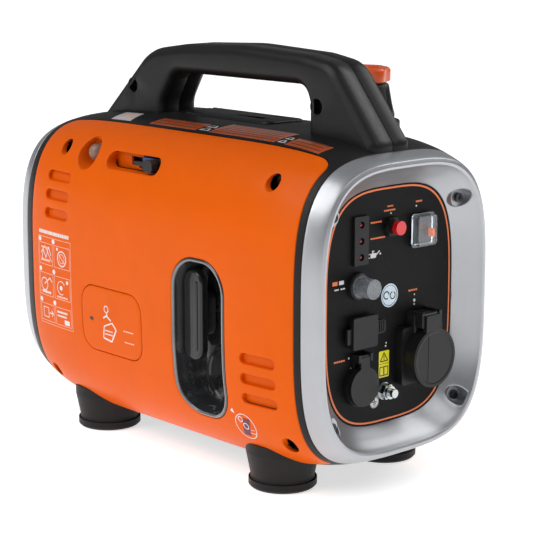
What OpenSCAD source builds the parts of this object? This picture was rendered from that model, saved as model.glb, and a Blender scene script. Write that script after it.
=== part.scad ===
// Suitcase inverter generator. Length lies along X with the control panel at +X.
// The recoil starter side faces -Y and Z is up. The origin is on the ground under the middle.

/* [Housing] */
// Length from the rear rim to the front rim
body_l = 450; // [446:1:454]
// Half width at the two rims
rim_w = 107.5; // [106:0.5:108]
// Half height at the two rims
rim_h = 133.4; // [132:0.2:134]
// Half width at the middle of the housing
mid_w = 125; // [124:0.5:126]
// Height of the rims' centre above the ground
mid_z = 172.5; // [172:0.5:173]
// How far the middle of the top rises above the rims
top_swell = 17.6; // [16:0.2:18]
// How far the middle of the bottom drops below the rims
bottom_swell = 22; // [20:0.5:23]
// Thickness of the side covers
cover_t = 3; // [2.6:0.2:3]
// Thickness of the casing halves
casing_t = 6; // [5.6:0.2:6.4]
// Distance from the rim to the panel plane
panel_depth = 22.7; // [22:0.1:23]

/* [Handle] */
// Full width of the carrying handle
handle_w = 50; // [46:1:52]
// Height of the top of the grip above the ground
handle_top = 397; // [394:1:398]
// Height of the underside of the grip
grip_under = 366; // [364:1:367]

/* [Engine] */
// Height of the crankshaft
crank_z = 122; // [121:0.5:123]
// Radius of the crankshaft journals
journal_r = 8; // [7:0.5:9]
// Radius of the flywheel
flywheel_r = 56; // [52:1:58]
// Radius over the tips of the fan blades
fan_r = 70; // [66:1:72]

/* [Starter] */
// Radius of the rope's centre line on the pulley
rope_wrap_r = 34; // [33:0.5:35]
// Place of the rope along the length
rope_x = 61; // [60:0.5:62]
// Rope diameter
rope_d = 4; // [3:0.5:4]

/* [Outlets] */
// Radius of the spring lid on the mains outlet
ac_lid_r = 27.6; // [26:0.2:28]
// Radius of the lid on the battery outlet
dc_lid_r = 18; // [17:0.5:18]

/* [Hidden] */
$fn = 48;

black = "#1d1d1f";
orange = "#e0610f";
silver = "#b4b6b8";
steel = "#8d9094";
alloy = "#a5a7a8";
clear_grey = [0.8, 0.82, 0.84, 0.5];

gap = 0.1;
fit = 0.05;
half_l = body_l / 2;
squareness = 3.5;
swell_power = 5.1;
front_seam = 205;
panel_x = half_l - panel_depth;
panel_w = 82.7;
panel_h = 109.7;
cover_front = 198.5;
cover_rear = -192;
cover_top_a = 111.3;
cover_low_a = 248.7;
side_top_z = mid_z + rim_h + top_swell;

// ---- housing surface -------------------------------------------------------

function swell(x) = 1 - pow(min(1, abs(x) / half_l), swell_power);
function wide(x) = rim_w + (mid_w - rim_w) * swell(x);
function high(x) = rim_h + top_swell * swell(x);
function deep(x) = rim_h + bottom_swell * swell(x);
function bend(v) = sign(v) * pow(abs(v), 2 / squareness);
// A point on a rounded cross-section of half width w, half height up and half height down
function section(w, up, down, a) = [w * bend(cos(a)), mid_z + (sin(a) > 0 ? up : down) * bend(sin(a))];
// A point on the housing at station x and angle a, moved in by depth d
function skin_point(x, a, d) =
  let (p = section(wide(x) - d, high(x) - d, deep(x) - d, a)) [x, p[0], p[1]];
// The angle at which the middle of the starter side reaches height z
function side_angle(z) = z > mid_z
  ? 180 - asin(pow((z - mid_z) / high(0), squareness / 2))
  : 180 + asin(pow((mid_z - z) / deep(0), squareness / 2));
function steps(a, b, n) = [for (i = [0:n]) a + (b - a) * i / n];

// A curved plate over stations xs and angles as, from depth(x, a) in to depth inner
module plate(xs, as, depth, inner) {
  m = len(xs);
  n = len(as);
  points = [for (x = xs) for (a = as) for (k = [0, 1]) skin_point(x, a, k == 0 ? depth(x, a) : inner)];
  function o(i, j) = (i * n + j) * 2;
  function u(i, j) = o(i, j) + 1;
  outer = [for (i = [0:m - 2]) for (j = [0:n - 2])
    for (t = [[o(i, j), o(i + 1, j), o(i + 1, j + 1)], [o(i, j), o(i + 1, j + 1), o(i, j + 1)]]) t];
  under = [for (i = [0:m - 2]) for (j = [0:n - 2])
    for (t = [[u(i, j), u(i + 1, j + 1), u(i + 1, j)], [u(i, j), u(i, j + 1), u(i + 1, j + 1)]]) t];
  ends = [for (j = [0:n - 2])
    for (q = [[o(0, j), o(0, j + 1), u(0, j + 1), u(0, j)],
        [o(m - 1, j + 1), o(m - 1, j), u(m - 1, j), u(m - 1, j + 1)]]) q];
  sides = [for (i = [0:m - 2])
    for (q = [[o(i + 1, 0), o(i, 0), u(i, 0), u(i + 1, 0)],
        [o(i, n - 1), o(i + 1, n - 1), u(i + 1, n - 1), u(i, n - 1)]]) q];
  polyhedron(points, concat(outer, under, ends, sides), convexity = 6);
}

// A patch of the housing's side between two heights, from depth d0 in to depth d1
module side_patch(x0, x1, z0, z1, d0, d1, nx = 8, na = 14) {
  plate(steps(x0, x1, nx), steps(side_angle(z1), side_angle(z0), na), function(x, a) d0, d1);
}

// A ring lofted through rows of [x, half width, half height up, half height down]
module ring(rows, count = 64) {
  k = len(rows);
  points = [for (r = rows) for (j = [0:count - 1])
    let (p = section(r[1], r[2], r[3], (j + 0.5) * 360 / count)) [r[0], p[0], p[1]]];
  function id(i, j) = (i % k) * count + j % count;
  faces = [for (i = [0:k - 1]) for (j = [0:count - 1])
    for (t = [[id(i, j), id(i + 1, j), id(i + 1, j + 1)], [id(i, j), id(i + 1, j + 1), id(i, j + 1)]]) t];
  polyhedron(points, faces, convexity = 6);
}

// ---- drawing helpers -------------------------------------------------------

// Extrudes a shape drawn in Y and Z along X
module along_x(x0, x1) {
  translate([x0, 0, 0]) rotate([90, 0, 90]) linear_extrude(x1 - x0) children();
}

// Extrudes a shape drawn in X and Z along Y
module along_y(y0, y1) {
  translate([0, y1, 0]) rotate([90, 0, 0]) linear_extrude(y1 - y0) children();
}

// Extrudes a shape drawn in X and Y along Z
module along_z(z0, z1) {
  translate([0, 0, z0]) linear_extrude(z1 - z0) children();
}

function ray(a) = [cos(a), sin(a)];
function arc(c, r, a0, a1, n) = [for (i = [0:n]) c + r * ray(a0 + (a1 - a0) * i / n)];
function round_box(w, h, r, n = 7) = concat(
  arc([w / 2 - r, h / 2 - r], r, 0, 90, n), arc([r - w / 2, h / 2 - r], r, 90, 180, n),
  arc([r - w / 2, r - h / 2], r, 180, 270, n), arc([w / 2 - r, r - h / 2], r, 270, 360, n));

module slab(w, h, r) {
  polygon(round_box(w, h, r));
}

module disc_x(x0, x1, r, y, z) {
  along_x(x0, x1) translate([y, z]) circle(r);
}

module disc_y(y0, y1, r, x, z) {
  along_y(y0, y1) translate([x, z]) circle(r);
}

module disc_z(z0, z1, r, x, y) {
  along_z(z0, z1) translate([x, y]) circle(r);
}

// Rounds the corners of a closed outline by the radii in rs
function unit(v) = v / norm(v);
function rounded(ps, rs, n = 4) = [for (i = [0:len(ps) - 1])
  let (p = ps[i], q = ps[(i + len(ps) - 1) % len(ps)], s = ps[(i + 1) % len(ps)],
    u = unit(q - p), v = unit(s - p), b = acos(max(-1, min(1, u * v))) / 2,
    r = rs[i], c = p + unit(u + v) * r / sin(b))
  for (k = [0:n]) r == 0 ? p
    : let (f = c + (p + u * r / tan(b) - c) * (1 - k / n) + (p + v * r / tan(b) - c) * (k / n) - c)
      c + unit(f) * r];

// ---- places shared by several pieces ---------------------------------------

recoil_c = [79.2, 137.8];
recoil_size = [73.5, 150.5, 31];
rope_z = crank_z + rope_wrap_r;
grip_size = [26, 86, 12.5];
grip_back_y = -93;
grip_front_y = -115;
tub_floor_y = -88;
oil_c = [-51, 130.5];
oil_size = [94, 65, 18];
lever_c = [-33, 287];
lever_slot = [80, 16];
primer_c = [-106, 289];
filler_c = [105, 58];
boss_r = 38;
boss_top = 328;
screw_depth = 12.5;
cover_hole_r = 7.4;
hatch_c = [-14, 14];
hatch_size = [132, 52, 10];
cover_screws = [[-147, 291], [158, 290], [179, 55], [-173, 56]];
rim_screw_y = 80.6;
rim_screw_z = [74.4, 263];
handle_screws = [[-139, 348], [131, 348]];
foot_x = 132.7;
foot_y = 67;
foot_r = 32;
left_vents = [-142.5, 244];
right_vents = [157, 113];
vent_pitch = 18.8;
exhaust_c = [52, 82];
tail_r = 10;
ac_c = [36, 122.6];
ac_lid_c = [38.5, 119.8];
dc_c = [-39.5, 104];
usb_c = [-38, 154];
led_c = [-39.4, 236.5];
eco_c = [39.5, 237];
breaker_c = [-41.4, 195.7];
reset_c = [0, 244.6];
ground_c = [-9.5, 94];

// ---- housing ---------------------------------------------------------------

casing_xs = [-front_seam, -198, cover_rear - 0.3, cover_rear, -182, -168, -150, -120, -60, 0,
  60, 120, 150, 168, 182, cover_front - 0.2, cover_front, front_seam];
casing_as = [90, 100, cover_top_a - 0.4, cover_top_a, 118, 125, 132, 139, 146, 155, 165, 180,
  195, 205, 214, 221, 228, 235, 242, cover_low_a, cover_low_a + 0.4, 260, 270];
cover_xs = [cover_rear + gap, -182, -168, -150, -120, -60, 0, 60, 120, 150, 168, 182, cover_front - 0.3];
cover_as = [cover_top_a + 0.2, 118, 125, 132, 139, 146, 155, 165, 180, 195, 205, 214, 221, 228, 235,
  242, cover_low_a - 0.2];
seat = cover_t + gap;
function under_cover(x, a) = x >= cover_rear && x < cover_front && a >= cover_top_a && a <= cover_low_a;
casing_depth = function(x, a) under_cover(x, a) ? seat : 0;
cover_depth = function(x, a) 0;

handle_outline = rounded(
  [[-192, 308], [-190, 318], [-116, 386], [-60, 394], [20, handle_top + 0.7], [110, 394],
    [148, 388], [204.6, 320], [204.6, 306], [118, 318], [118, 350], [112, grip_under],
    [-72, grip_under - 1], [-88, 334], [-88, 318]],
  [0, 6, 22, 60, 200, 60, 16, 8, 0, 0, 5, 8, 8, 10, 0]);

module handle_half() {
  along_y(-handle_w / 2, 0) polygon(handle_outline);
}

module vent_slots(c, y0, y1) {
  for (i = [-1:1]) along_y(y0, y1) translate([c[0], c[1] + i * vent_pitch]) slab(42, 10, 4.9);
}

// Where the starter side's surface stands at station x and height z
function side_y(x, z) = let (h = z > mid_z ? high(x) : deep(x))
  -wide(x) * pow(1 - pow(abs(z - mid_z) / h, squareness), 1 / squareness);

module hatch_well() {
  along_z(300, 340) translate(hatch_c) slab(hatch_size[0], hatch_size[1], hatch_size[2]);
}

module casing_half() {
  difference() {
    union() {
      plate(casing_xs, casing_as, casing_depth, casing_t);
      handle_half();
      for (s = cover_screws) let (floor_y = side_y(s[0], s[1]) + screw_depth)
        disc_y(floor_y, floor_y + 12, 7, s[0], s[1]);
    }
    for (s = handle_screws) {
      disc_y(-30, -15, 5, s[0], s[1]);
      disc_y(-15.5, 1, 2.6, s[0], s[1]);
    }
    for (s = cover_screws) {
      disc_y(-140, side_y(s[0], s[1]) + screw_depth, 5.2, s[0], s[1]);
      disc_y(-140, side_y(s[0], s[1]) + screw_depth + 20, 2.6, s[0], s[1]);
    }
  }
}

module left_casing() color(black) difference() {
  union() {
    casing_half();
    disc_y(-88, -77, 14, primer_c[0], primer_c[1]);
  }
  hatch_well();
  disc_y(-140, -80, 10.6, primer_c[0], primer_c[1]);
  along_y(-140, -60) translate(recoil_c)
    slab(recoil_size[0] + 0.4, recoil_size[1] + 0.4, recoil_size[2] + 0.2);
  along_y(-140, -60) translate(oil_c) slab(oil_size[0] - 8, oil_size[1] - 8, oil_size[2] - 5);
  along_y(-140, -60) translate(lever_c) slab(lever_slot[0], lever_slot[1], lever_slot[1] / 2 - 0.1);
}

// The right half also carries the raised boss around the fuel filler
module right_casing() color(black) difference() {
  union() {
    mirror([0, 1, 0]) casing_half();
    difference() {
      disc_z(290, boss_top, boss_r, filler_c[0], filler_c[1]);
      disc_z(280, boss_top - 3, boss_r - 3, filler_c[0], filler_c[1]);
    }
  }
  hatch_well();
  disc_z(280, 340, 20, filler_c[0], filler_c[1]);
}

module side_cover() {
  difference() {
    plate(cover_xs, cover_as, cover_depth, cover_t);
    for (s = cover_screws) disc_y(-140, -60, cover_hole_r, s[0], s[1]);
    vent_slots(left_vents, -140, -60);
    vent_slots(right_vents, -140, -60);
  }
}

module left_side_cover() color(orange) difference() {
  side_cover();
  along_y(-140, -60) translate(recoil_c)
    slab(recoil_size[0] + 2 * gap, recoil_size[1] + 2 * gap, recoil_size[2] + gap);
  along_y(-140, -60) translate(oil_c) slab(oil_size[0] + 0.8, oil_size[1] + 0.8, oil_size[2] + 0.4);
  along_y(-140, -60) translate(lever_c) slab(lever_slot[0], lever_slot[1], lever_slot[1] / 2 - 0.1);
  disc_y(-140, -60, 11.5, primer_c[0], primer_c[1]);
}

module right_side_cover() color(orange) difference() {
  mirror([0, 1, 0]) side_cover();
  disc_z(280, 340, boss_r + 2 * gap, filler_c[0], filler_c[1]);
}

// Rows of the bezel from its seam, over the rim and down the inner slope to the panel
bezel_rows = [
  [front_seam + gap, wide(front_seam), high(front_seam), deep(front_seam)],
  [213, wide(213), high(213), deep(213)],
  [220, wide(220), high(220), deep(220)],
  [223.6, wide(224) - 0.6, high(224) - 0.6, deep(224) - 0.6],
  [half_l, rim_w - 3, rim_h - 3, rim_h - 3],
  [224.2, rim_w - 5.6, rim_h - 5.6, rim_h - 5.6],
  [217, rim_w - 10.5, rim_h - 10.5, rim_h - 10.5],
  [209, rim_w - 16.5, rim_h - 16, rim_h - 16],
  [panel_x + 0.7, panel_w + 0.3, panel_h + 0.3, panel_h + 0.3],
  [panel_x - 3, panel_w + 0.3, panel_h + 0.3, panel_h + 0.3],
  [panel_x - 3, wide(front_seam) - 7, high(front_seam) - 7, deep(front_seam) - 7],
  [front_seam + gap, wide(front_seam) - 7, high(front_seam) - 7, deep(front_seam) - 7]];

module front_bezel() color(silver) difference() {
  ring(bezel_rows);
  for (y = [-rim_screw_y, rim_screw_y]) for (z = rim_screw_z) {
    disc_x(209.5, 230, 8.5, y, z);
    disc_x(190, 230, 2.6, y, z);
  }
}

module rear_bezel() color(silver) mirror([1, 0, 0]) difference() {
  ring(bezel_rows);
  for (y = [-rim_screw_y, rim_screw_y]) for (z = rim_screw_z) {
    disc_x(209.5, 230, 8.5, y, z);
    disc_x(190, 230, 2.6, y, z);
  }
}

module end_plate(w, h) {
  polygon([for (a = [2.5:5:360]) section(w, h, h, a)]);
}

module control_panel() color(black) difference() {
  union() {
    along_x(panel_x - 6, panel_x) end_plate(panel_w, panel_h);
    along_x(panel_x - 6, panel_x - 3.1) end_plate(panel_w + 14, panel_h + 20);
  }
  for (y = [-rim_screw_y, rim_screw_y]) for (z = rim_screw_z) disc_x(190, 230, 2.6, y, z);
  along_x(190, 230) translate(led_c) square([13, 36], center = true);
  disc_x(190, 230, 4.5, reset_c[0], reset_c[1]);
  along_x(190, 230) translate(eco_c) square([19, 23], center = true);
  disc_x(190, 230, 7, breaker_c[0], breaker_c[1]);
  along_x(190, 230) translate(usb_c) square([20.2, 20.2], center = true);
  disc_x(190, 230, 14.2, dc_c[0], dc_c[1]);
  disc_x(190, 230, 22.2, ac_c[0], ac_c[1]);
  disc_x(190, 230, 4.1, ground_c[0], ground_c[1]);
}

module rear_grille() color(black) difference() {
  union() {
    along_x(-panel_x, -panel_x + 6) end_plate(panel_w, panel_h);
    along_x(-panel_x + 3.1, -panel_x + 6) end_plate(panel_w + 14, panel_h + 20);
  }
  for (y = [-rim_screw_y, rim_screw_y]) for (z = rim_screw_z) disc_x(-230, -190, 2.6, y, z);
  for (i = [0:9]) along_x(-230, -190) translate([0, 134 + i * 13])
    square([116 - 2 * abs(i - 4), 5], center = true);
  disc_x(-230, -190, tail_r + 4, exhaust_c[0], exhaust_c[1]);
}

// Feet, cut to the underside of the housing
foot_xs = [for (x = casing_xs) if (abs(x) <= 182) x];
foot_as = [for (a = casing_as) if (a >= 221 && a != cover_low_a + 0.4) a];
module rubber_feet() color("#161616") difference() {
  for (x = [-foot_x, foot_x]) for (y = [-foot_y, foot_y]) translate([x, y, 0])
    rotate_extrude() polygon([[0, 0], [foot_r - 2, 0], [foot_r, 2], [foot_r, 8], [foot_r - 2, 8],
      [foot_r - 2, 11], [foot_r + 2.5, 34], [foot_r + 2.5, 44], [0, 44]]);
  for (s = [0, 1]) mirror([0, s, 0])
    plate(foot_xs, foot_as, function(x, a) -fit, 60);
}

// Cover over the spark plug, lying in a well in the top
module spark_plug_hatch() color(black) difference() {
  along_z(side_top_z - 5, side_top_z + 1.2) translate(hatch_c)
    slab(hatch_size[0] - 1, hatch_size[1] - 1, hatch_size[2] - 0.5);
  for (x = [-4, 4]) for (y = [-4, 4]) disc_z(300, 340, 2, -68 + x, hatch_c[1] + 10 + y);
}

module oil_cover() color(orange) union() {
  intersection() {
    along_y(-140, -90) translate(oil_c) slab(oil_size[0], oil_size[1], oil_size[2]);
    side_patch(-110, 10, 90, 170, -0.4, cover_t);
  }
  disc_y(-122, -119, 6, -82, 129.5);
}

module recoil_surround() color("#3a3c3e") difference() {
  intersection() {
    along_y(-140, tub_floor_y + 3) translate(recoil_c) slab(recoil_size[0], recoil_size[1], recoil_size[2]);
    side_patch(30, 128, 50, 226, -0.5, 60);
  }
  along_y(-140, tub_floor_y) translate(recoil_c)
    slab(recoil_size[0] - 8, recoil_size[1] - 8, recoil_size[2] - 4);
  disc_y(-100, -60, 4, rope_x, rope_z);
}

// ---- starter ---------------------------------------------------------------

// Bar to pull on, with a shorter stem behind it that holds the rope
module starter_grip() color("#232324") union() {
  along_y(grip_front_y + 10, grip_back_y) translate([rope_x, rope_z]) slab(18, 44, 8);
  along_y(grip_front_y + 4, grip_front_y + 10) translate([rope_x, rope_z])
    slab(grip_size[0], grip_size[1], grip_size[2]);
  along_y(grip_front_y, grip_front_y + 4) translate([rope_x, rope_z])
    slab(grip_size[0] - 5, grip_size[1] - 5, grip_size[2] - 2.5);
}

module starter_rope() color("#c8c8c0") {
  disc_y(grip_back_y, 0, rope_d / 2, rope_x, rope_z);
}

// Grooved pulley, with the rope's tangent point at its top
module recoil_pulley() color("#3a3a3a") difference() {
  translate([rope_x, 0, crank_z]) rotate([0, 90, 0]) rotate_extrude()
    polygon([[6 + fit, -6], [39, -6], [39, -3.5], [rope_wrap_r - rope_d / 2 - 0.3, -2.6],
      [rope_wrap_r - rope_d / 2 - 0.3, 2.6], [39, 3.5], [39, 6], [28, 6], [28, 2], [12, 2], [12, 6],
      [6 + fit, 6]]);
  disc_x(50, 70, 1.5, 0, crank_z + 20);
}

module recoil_housing() color(steel) difference() {
  union() {
    difference() {
      disc_x(51, 78, 78, 0, crank_z);
      disc_x(50, 75, 46, 0, crank_z);
      difference() {
        disc_x(54, 80, 80, 0, crank_z);
        disc_x(50, 80, 49, 0, crank_z);
      }
    }
    disc_x(52, 76, 6, 0, crank_z);
  }
  translate([rope_x - 4, -80, rope_z - 4]) cube([8, 60, 8]);
  for (i = [0:7]) translate([0, 0, crank_z]) rotate([i * 45, 0, 0]) disc_x(70, 80, 6, 0, 26);
}

// Flat return spring between the pulley and its housing, drawn as its outer coil
module recoil_spring() color("#6b6f73") difference() {
  disc_x(rope_x + 6.6, 74.5, 26, 0, crank_z);
  disc_x(rope_x, 80, 22, 0, crank_z);
}

// ---- fuel system -----------------------------------------------------------

neck_base = 285;
neck_top = 344;

module filler_neck() color("#2b2b2d") difference() {
  union() {
    disc_z(neck_base, neck_top, 19, filler_c[0], filler_c[1]);
    disc_z(neck_base, neck_base + 3, 26, filler_c[0], filler_c[1]);
  }
  disc_z(neck_base - 5, neck_top + 5, 16, filler_c[0], filler_c[1]);
}

module fuel_cap_seal() color("#101010") difference() {
  disc_z(neck_top + 0.2, neck_top + 3, 20, filler_c[0], filler_c[1]);
  disc_z(neck_top - 1, neck_top + 5, 12, filler_c[0], filler_c[1]);
}

// Cap body: a fluted skirt that flares towards its base
module fuel_cap() color("#2a2a2c") translate([filler_c[0], filler_c[1], 0]) difference() {
  rotate_extrude() polygon([[0, neck_top + 3.3], [20.4, neck_top + 3.3], [20.4, 331],
    [33, 331], [31.5, 345], [29, 358], [27, 362.5], [22, 364], [0, 364]]);
  for (i = [0:7]) rotate([0, 0, i * 45 + 22.5]) translate([37, 0, 0]) disc_z(333, 361, 8, 0, 0);
}

module fuel_cap_vent() color(orange) translate([filler_c[0], filler_c[1], 0]) difference() {
  along_z(364.3, 378.5) polygon([for (a = [0:7.5:352.5]) (27.5 + 1.4 * cos(8 * a)) * [cos(a), sin(a)]]);
  for (i = [0:3]) rotate([0, 0, i * 90]) translate([14, -1.5, 377.5]) cube([8, 3, 2]);
}

module fuel_tank() color("#26272a") difference() {
  along_x(48, 186) polygon(rounded([[-84, 216], [88, 216], [94, 250], [80, 282], [-76, 282], [-92, 250]],
    [8, 8, 20, 20, 20, 20]));
  along_x(51, 183) polygon(rounded([[-81, 219], [85, 219], [91, 250], [77, 279], [-73, 279], [-89, 250]],
    [6, 6, 18, 18, 18, 18]));
  disc_z(276, 290, 16.5, filler_c[0], filler_c[1]);
  disc_z(210, 222, 2.5, 60, -40);
}

// Hose from the tank's outlet down and back to the carburettor
hose_path = [[60, -40, 214.8], [60, -40, 204], [54, -44, 199], [40, -50, 197], [20, -56, 199], [4, -60, 206],
  [-7, -62, 213.4], [-11.2, -62, 216]];

module fuel_hose() color("#1a1a1a") {
  sides = 8;
  r = 3;
  n = len(hose_path);
  dir = [for (i = [0:n - 1]) unit(hose_path[min(n - 1, i + 1)] - hose_path[max(0, i - 1)])];
  e1 = [for (d = dir) unit(cross(d, [0.3, 1, 0.1]))];
  points = [for (i = [0:n - 1]) for (j = [0:sides - 1])
    hose_path[i] + r * (cos(j * 45) * e1[i] + sin(j * 45) * cross(dir[i], e1[i]))];
  faces = concat([[for (j = [0:sides - 1]) j]],
    [for (i = [0:n - 2]) for (j = [0:sides - 1])
      let (a = i * sides + j, b = i * sides + (j + 1) % sides)
      for (t = [[a, a + sides, b + sides], [a, b + sides, b]]) t],
    [[for (j = [sides - 1:-1:0]) (n - 1) * sides + j]]);
  polyhedron(points, faces, convexity = 4);
}

// ---- hand controls on the starter side ------------------------------------

lever_y = -113;

module choke_lever() color("#202022") union() {
  along_y(lever_y, lever_y + 16) translate([-6, lever_c[1]]) slab(14, 11, 4);
  along_y(lever_y + 6, lever_y + 10) translate([-22, lever_c[1]]) slab(24, 4, 1.9);
  along_y(lever_y + 12, lever_y + 26) translate([-8, lever_c[1]]) slab(10, 7, 2);
}

module primer_bulb() color([0.75, 0.72, 0.66, 0.6]) translate([primer_c[0], -86, primer_c[1]])
  rotate([90, 0, 0]) rotate_extrude()
    polygon(concat([[0, 0], [10, 0], [10, 3], [8.5, 3]], arc([0, 10], 8.5, 0, 90, 10)));

// ---- control panel pieces --------------------------------------------------

module led_block() color("#252628") difference() {
  union() {
    along_x(panel_x + gap, panel_x + 3) translate(led_c) slab(17.7, 44, 1);
    along_x(panel_x - 12, panel_x + 1) translate(led_c) square([12.6, 35.6], center = true);
  }
  for (i = [-1:1]) disc_x(panel_x - 4, panel_x + 6, 3.2, led_c[0], led_c[1] + i * 14.6 - 0.3);
}

module led_lenses() color("#5a1212") for (i = [-1:1])
  translate([panel_x - 3.9, led_c[0], led_c[1] + i * 14.6 - 0.3]) rotate([0, 90, 0]) rotate_extrude()
    polygon(concat([[0, 0], [2.4, 0]], arc([0, 4], 2.4, 0, 90, 6)));

module reset_base() color("#141414") difference() {
  union() {
    along_x(panel_x + gap, panel_x + 4) translate(reset_c) circle(9.5, $fn = 6);
    disc_x(panel_x + 3, panel_x + 5.8, 7.2, reset_c[0], reset_c[1]);
    disc_x(panel_x - 16, panel_x + 1, 4.3, reset_c[0], reset_c[1]);
  }
  disc_x(panel_x - 8, panel_x + 8, 3, reset_c[0], reset_c[1]);
}

module reset_button() color("#c4161c") union() {
  disc_x(panel_x - 3, panel_x + 10, 2.7, reset_c[0], reset_c[1]);
  disc_x(panel_x + 8.4, panel_x + 13.5, 6.4, reset_c[0], reset_c[1]);
}

eco_pivot_x = panel_x - 1;
rocker_tip = 9;

module eco_frame() color("#19191a") difference() {
  union() {
    along_x(panel_x + gap, panel_x + 2.5) translate(eco_c) slab(27, 31, 3);
    along_x(panel_x - 14, panel_x + 1) translate(eco_c) square([18.6, 22.6], center = true);
  }
  along_x(panel_x - 10, panel_x + 8) translate(eco_c) square([15, 19.6], center = true);
}

// Rocker, tipped to its off side about a pivot along Y
module eco_rocker() color("#2c2020") union() {
  translate([eco_pivot_x, 0, eco_c[1]]) rotate([0, rocker_tip, 0]) along_y(eco_c[0] - 7, eco_c[0] + 7)
    polygon([[5, -8.6], [3.4, 0], [5, 8.6], [0, 8.2], [-5, 4], [-5, -4], [0, -8.2]]);
  along_y(eco_c[0] - 7.3, eco_c[0] + 7.3) translate([eco_pivot_x, eco_c[1]]) circle(1.5);
}

module eco_cover() color(clear_grey) difference() {
  union() {
    along_x(panel_x + 2.6, panel_x + 4.2) translate(eco_c) slab(29, 31, 3);
    along_x(panel_x + 3, panel_x + 9.6) translate(eco_c) slab(25, 28, 3.5);
  }
  along_x(panel_x + 2, panel_x + 8.4) translate(eco_c) slab(22.6, 25.6, 2.5);
}

module dc_breaker() color("#2c2c2e") union() {
  disc_x(panel_x - 0.5, panel_x + 12, 3.4, breaker_c[0], breaker_c[1]);
  disc_x(panel_x + 8, panel_x + 12, 5, breaker_c[0], breaker_c[1]);
}

// Clear splash boot with its clamping collar
module breaker_boot() color(clear_grey) difference() {
  union() {
    disc_x(panel_x + gap, panel_x + 4.5, 11.5, breaker_c[0], breaker_c[1]);
    disc_x(panel_x + 4, panel_x + 21, 9, breaker_c[0], breaker_c[1]);
    disc_x(panel_x - 4, panel_x + 1, 6.8, breaker_c[0], breaker_c[1]);
  }
  disc_x(panel_x - 3.5, panel_x + 19.6, 6, breaker_c[0], breaker_c[1]);
}

module usb_socket() color("#1b1b1c") difference() {
  union() {
    along_x(panel_x + gap, panel_x + 3) translate(usb_c) slab(28, 27, 2);
    along_x(panel_x - 16, panel_x + 1) translate(usb_c) square([20, 20], center = true);
  }
  for (s = [-5, 5]) along_x(panel_x - 10, panel_x + 5) translate([usb_c[0], usb_c[1] + s])
    square([13, 5], center = true);
}

// Rubber cover on a strap at its left, with a pull tab at its right
module usb_cover() color("#262627") union() {
  along_x(panel_x + 3.1, panel_x + 8) translate(usb_c) slab(31, 29, 2);
  along_x(panel_x + 3.1, panel_x + 6) translate([usb_c[0] - 17.5, usb_c[1] - 2])
    square([7, 14], center = true);
  along_x(panel_x + 4, panel_x + 7) translate([usb_c[0] + 20, usb_c[1] + 2]) slab(13, 12, 3);
  for (i = [0:2]) along_x(panel_x + 7, panel_x + 7.8) translate([usb_c[0] + 19 + i * 2.6, usb_c[1] + 2])
    square([1.2, 10], center = true);
}

dc_hinge_z = dc_c[1] + 27;
dc_hinge_x = panel_x + 7;

module dc_socket() color("#1a1a1b") difference() {
  union() {
    disc_x(panel_x + gap, panel_x + 5, 19, dc_c[0], dc_c[1]);
    disc_x(panel_x - 30, panel_x + 5, 14, dc_c[0], dc_c[1]);
    for (s = [-1, 1]) along_x(panel_x + gap, panel_x + 10)
      translate([dc_c[0] + s * 7.4, dc_hinge_z]) square([3, 7], center = true);
    for (s = [-1, 1]) along_x(panel_x + gap, panel_x + 3)
      translate([dc_c[0] + s * 7.4, dc_hinge_z - 6]) square([3, 12], center = true);
    along_y(dc_c[0] - 8.9, dc_c[0] + 8.9) translate([dc_hinge_x, dc_hinge_z]) circle(1.2);
  }
  disc_x(panel_x - 27, panel_x + 8, 10.6, dc_c[0], dc_c[1]);
}

module dc_lid() color("#232324") difference() {
  union() {
    disc_x(panel_x + 5.3, panel_x + 9.5, dc_lid_r, dc_c[0], dc_c[1]);
    disc_x(panel_x + 2, panel_x + 6, 9.6, dc_c[0], dc_c[1]);
    along_x(panel_x + 6, panel_x + 9.5) translate([dc_c[0], dc_c[1] + 20]) slab(11, 14, 1);
    along_y(dc_c[0] - 5.5, dc_c[0] + 5.5) translate([dc_hinge_x, dc_hinge_z]) circle(2.6);
  }
  along_y(dc_c[0] - 6, dc_c[0] + 6) translate([dc_hinge_x, dc_hinge_z]) circle(1.2 + fit);
}

ac_hinge_x = panel_x + 16;
ac_hinge_z = ac_c[1] + 36;
ac_face_x = panel_x + 16.5;

module ac_socket() color("#1a1a1b") difference() {
  union() {
    along_x(panel_x + gap, panel_x + 8.5) translate(ac_c) slab(54, 54, 4);
    disc_x(panel_x - 28, ac_face_x, 22, ac_c[0], ac_c[1]);
    disc_x(panel_x + 8, ac_face_x, 25, ac_c[0], ac_c[1]);
    for (s = [-1, 1]) along_x(panel_x + gap, panel_x + 20)
      translate([ac_c[0] + s * 11.5, ac_hinge_z - 2]) slab(3.6, 14, 1);
    along_x(panel_x + gap, panel_x + 9) translate([ac_c[0], ac_hinge_z - 6]) square([26, 14], center = true);
    along_y(ac_c[0] - 13, ac_c[0] + 13) translate([ac_hinge_x, ac_hinge_z]) circle(1.8);
  }
  disc_x(panel_x, panel_x + 30, 19.5, ac_c[0], ac_c[1]);
  for (s = [-9.5, 9.5]) disc_x(panel_x - 20, panel_x + 5, 2.5, ac_c[0] + s, ac_c[1]);
}

module ac_lid() color("#202021") difference() {
  union() {
    disc_x(ac_face_x + 0.3, panel_x + 22, ac_lid_r, ac_lid_c[0], ac_lid_c[1]);
    along_x(ac_face_x + 0.3, panel_x + 22) translate([ac_c[0], ac_hinge_z - 9]) slab(18.4, 22, 1);
    along_y(ac_c[0] - 9.2, ac_c[0] + 9.2) translate([ac_hinge_x, ac_hinge_z]) circle(4);
  }
  along_y(ac_c[0] - 10, ac_c[0] + 10) translate([ac_hinge_x, ac_hinge_z]) circle(1.8 + fit);
}

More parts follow.
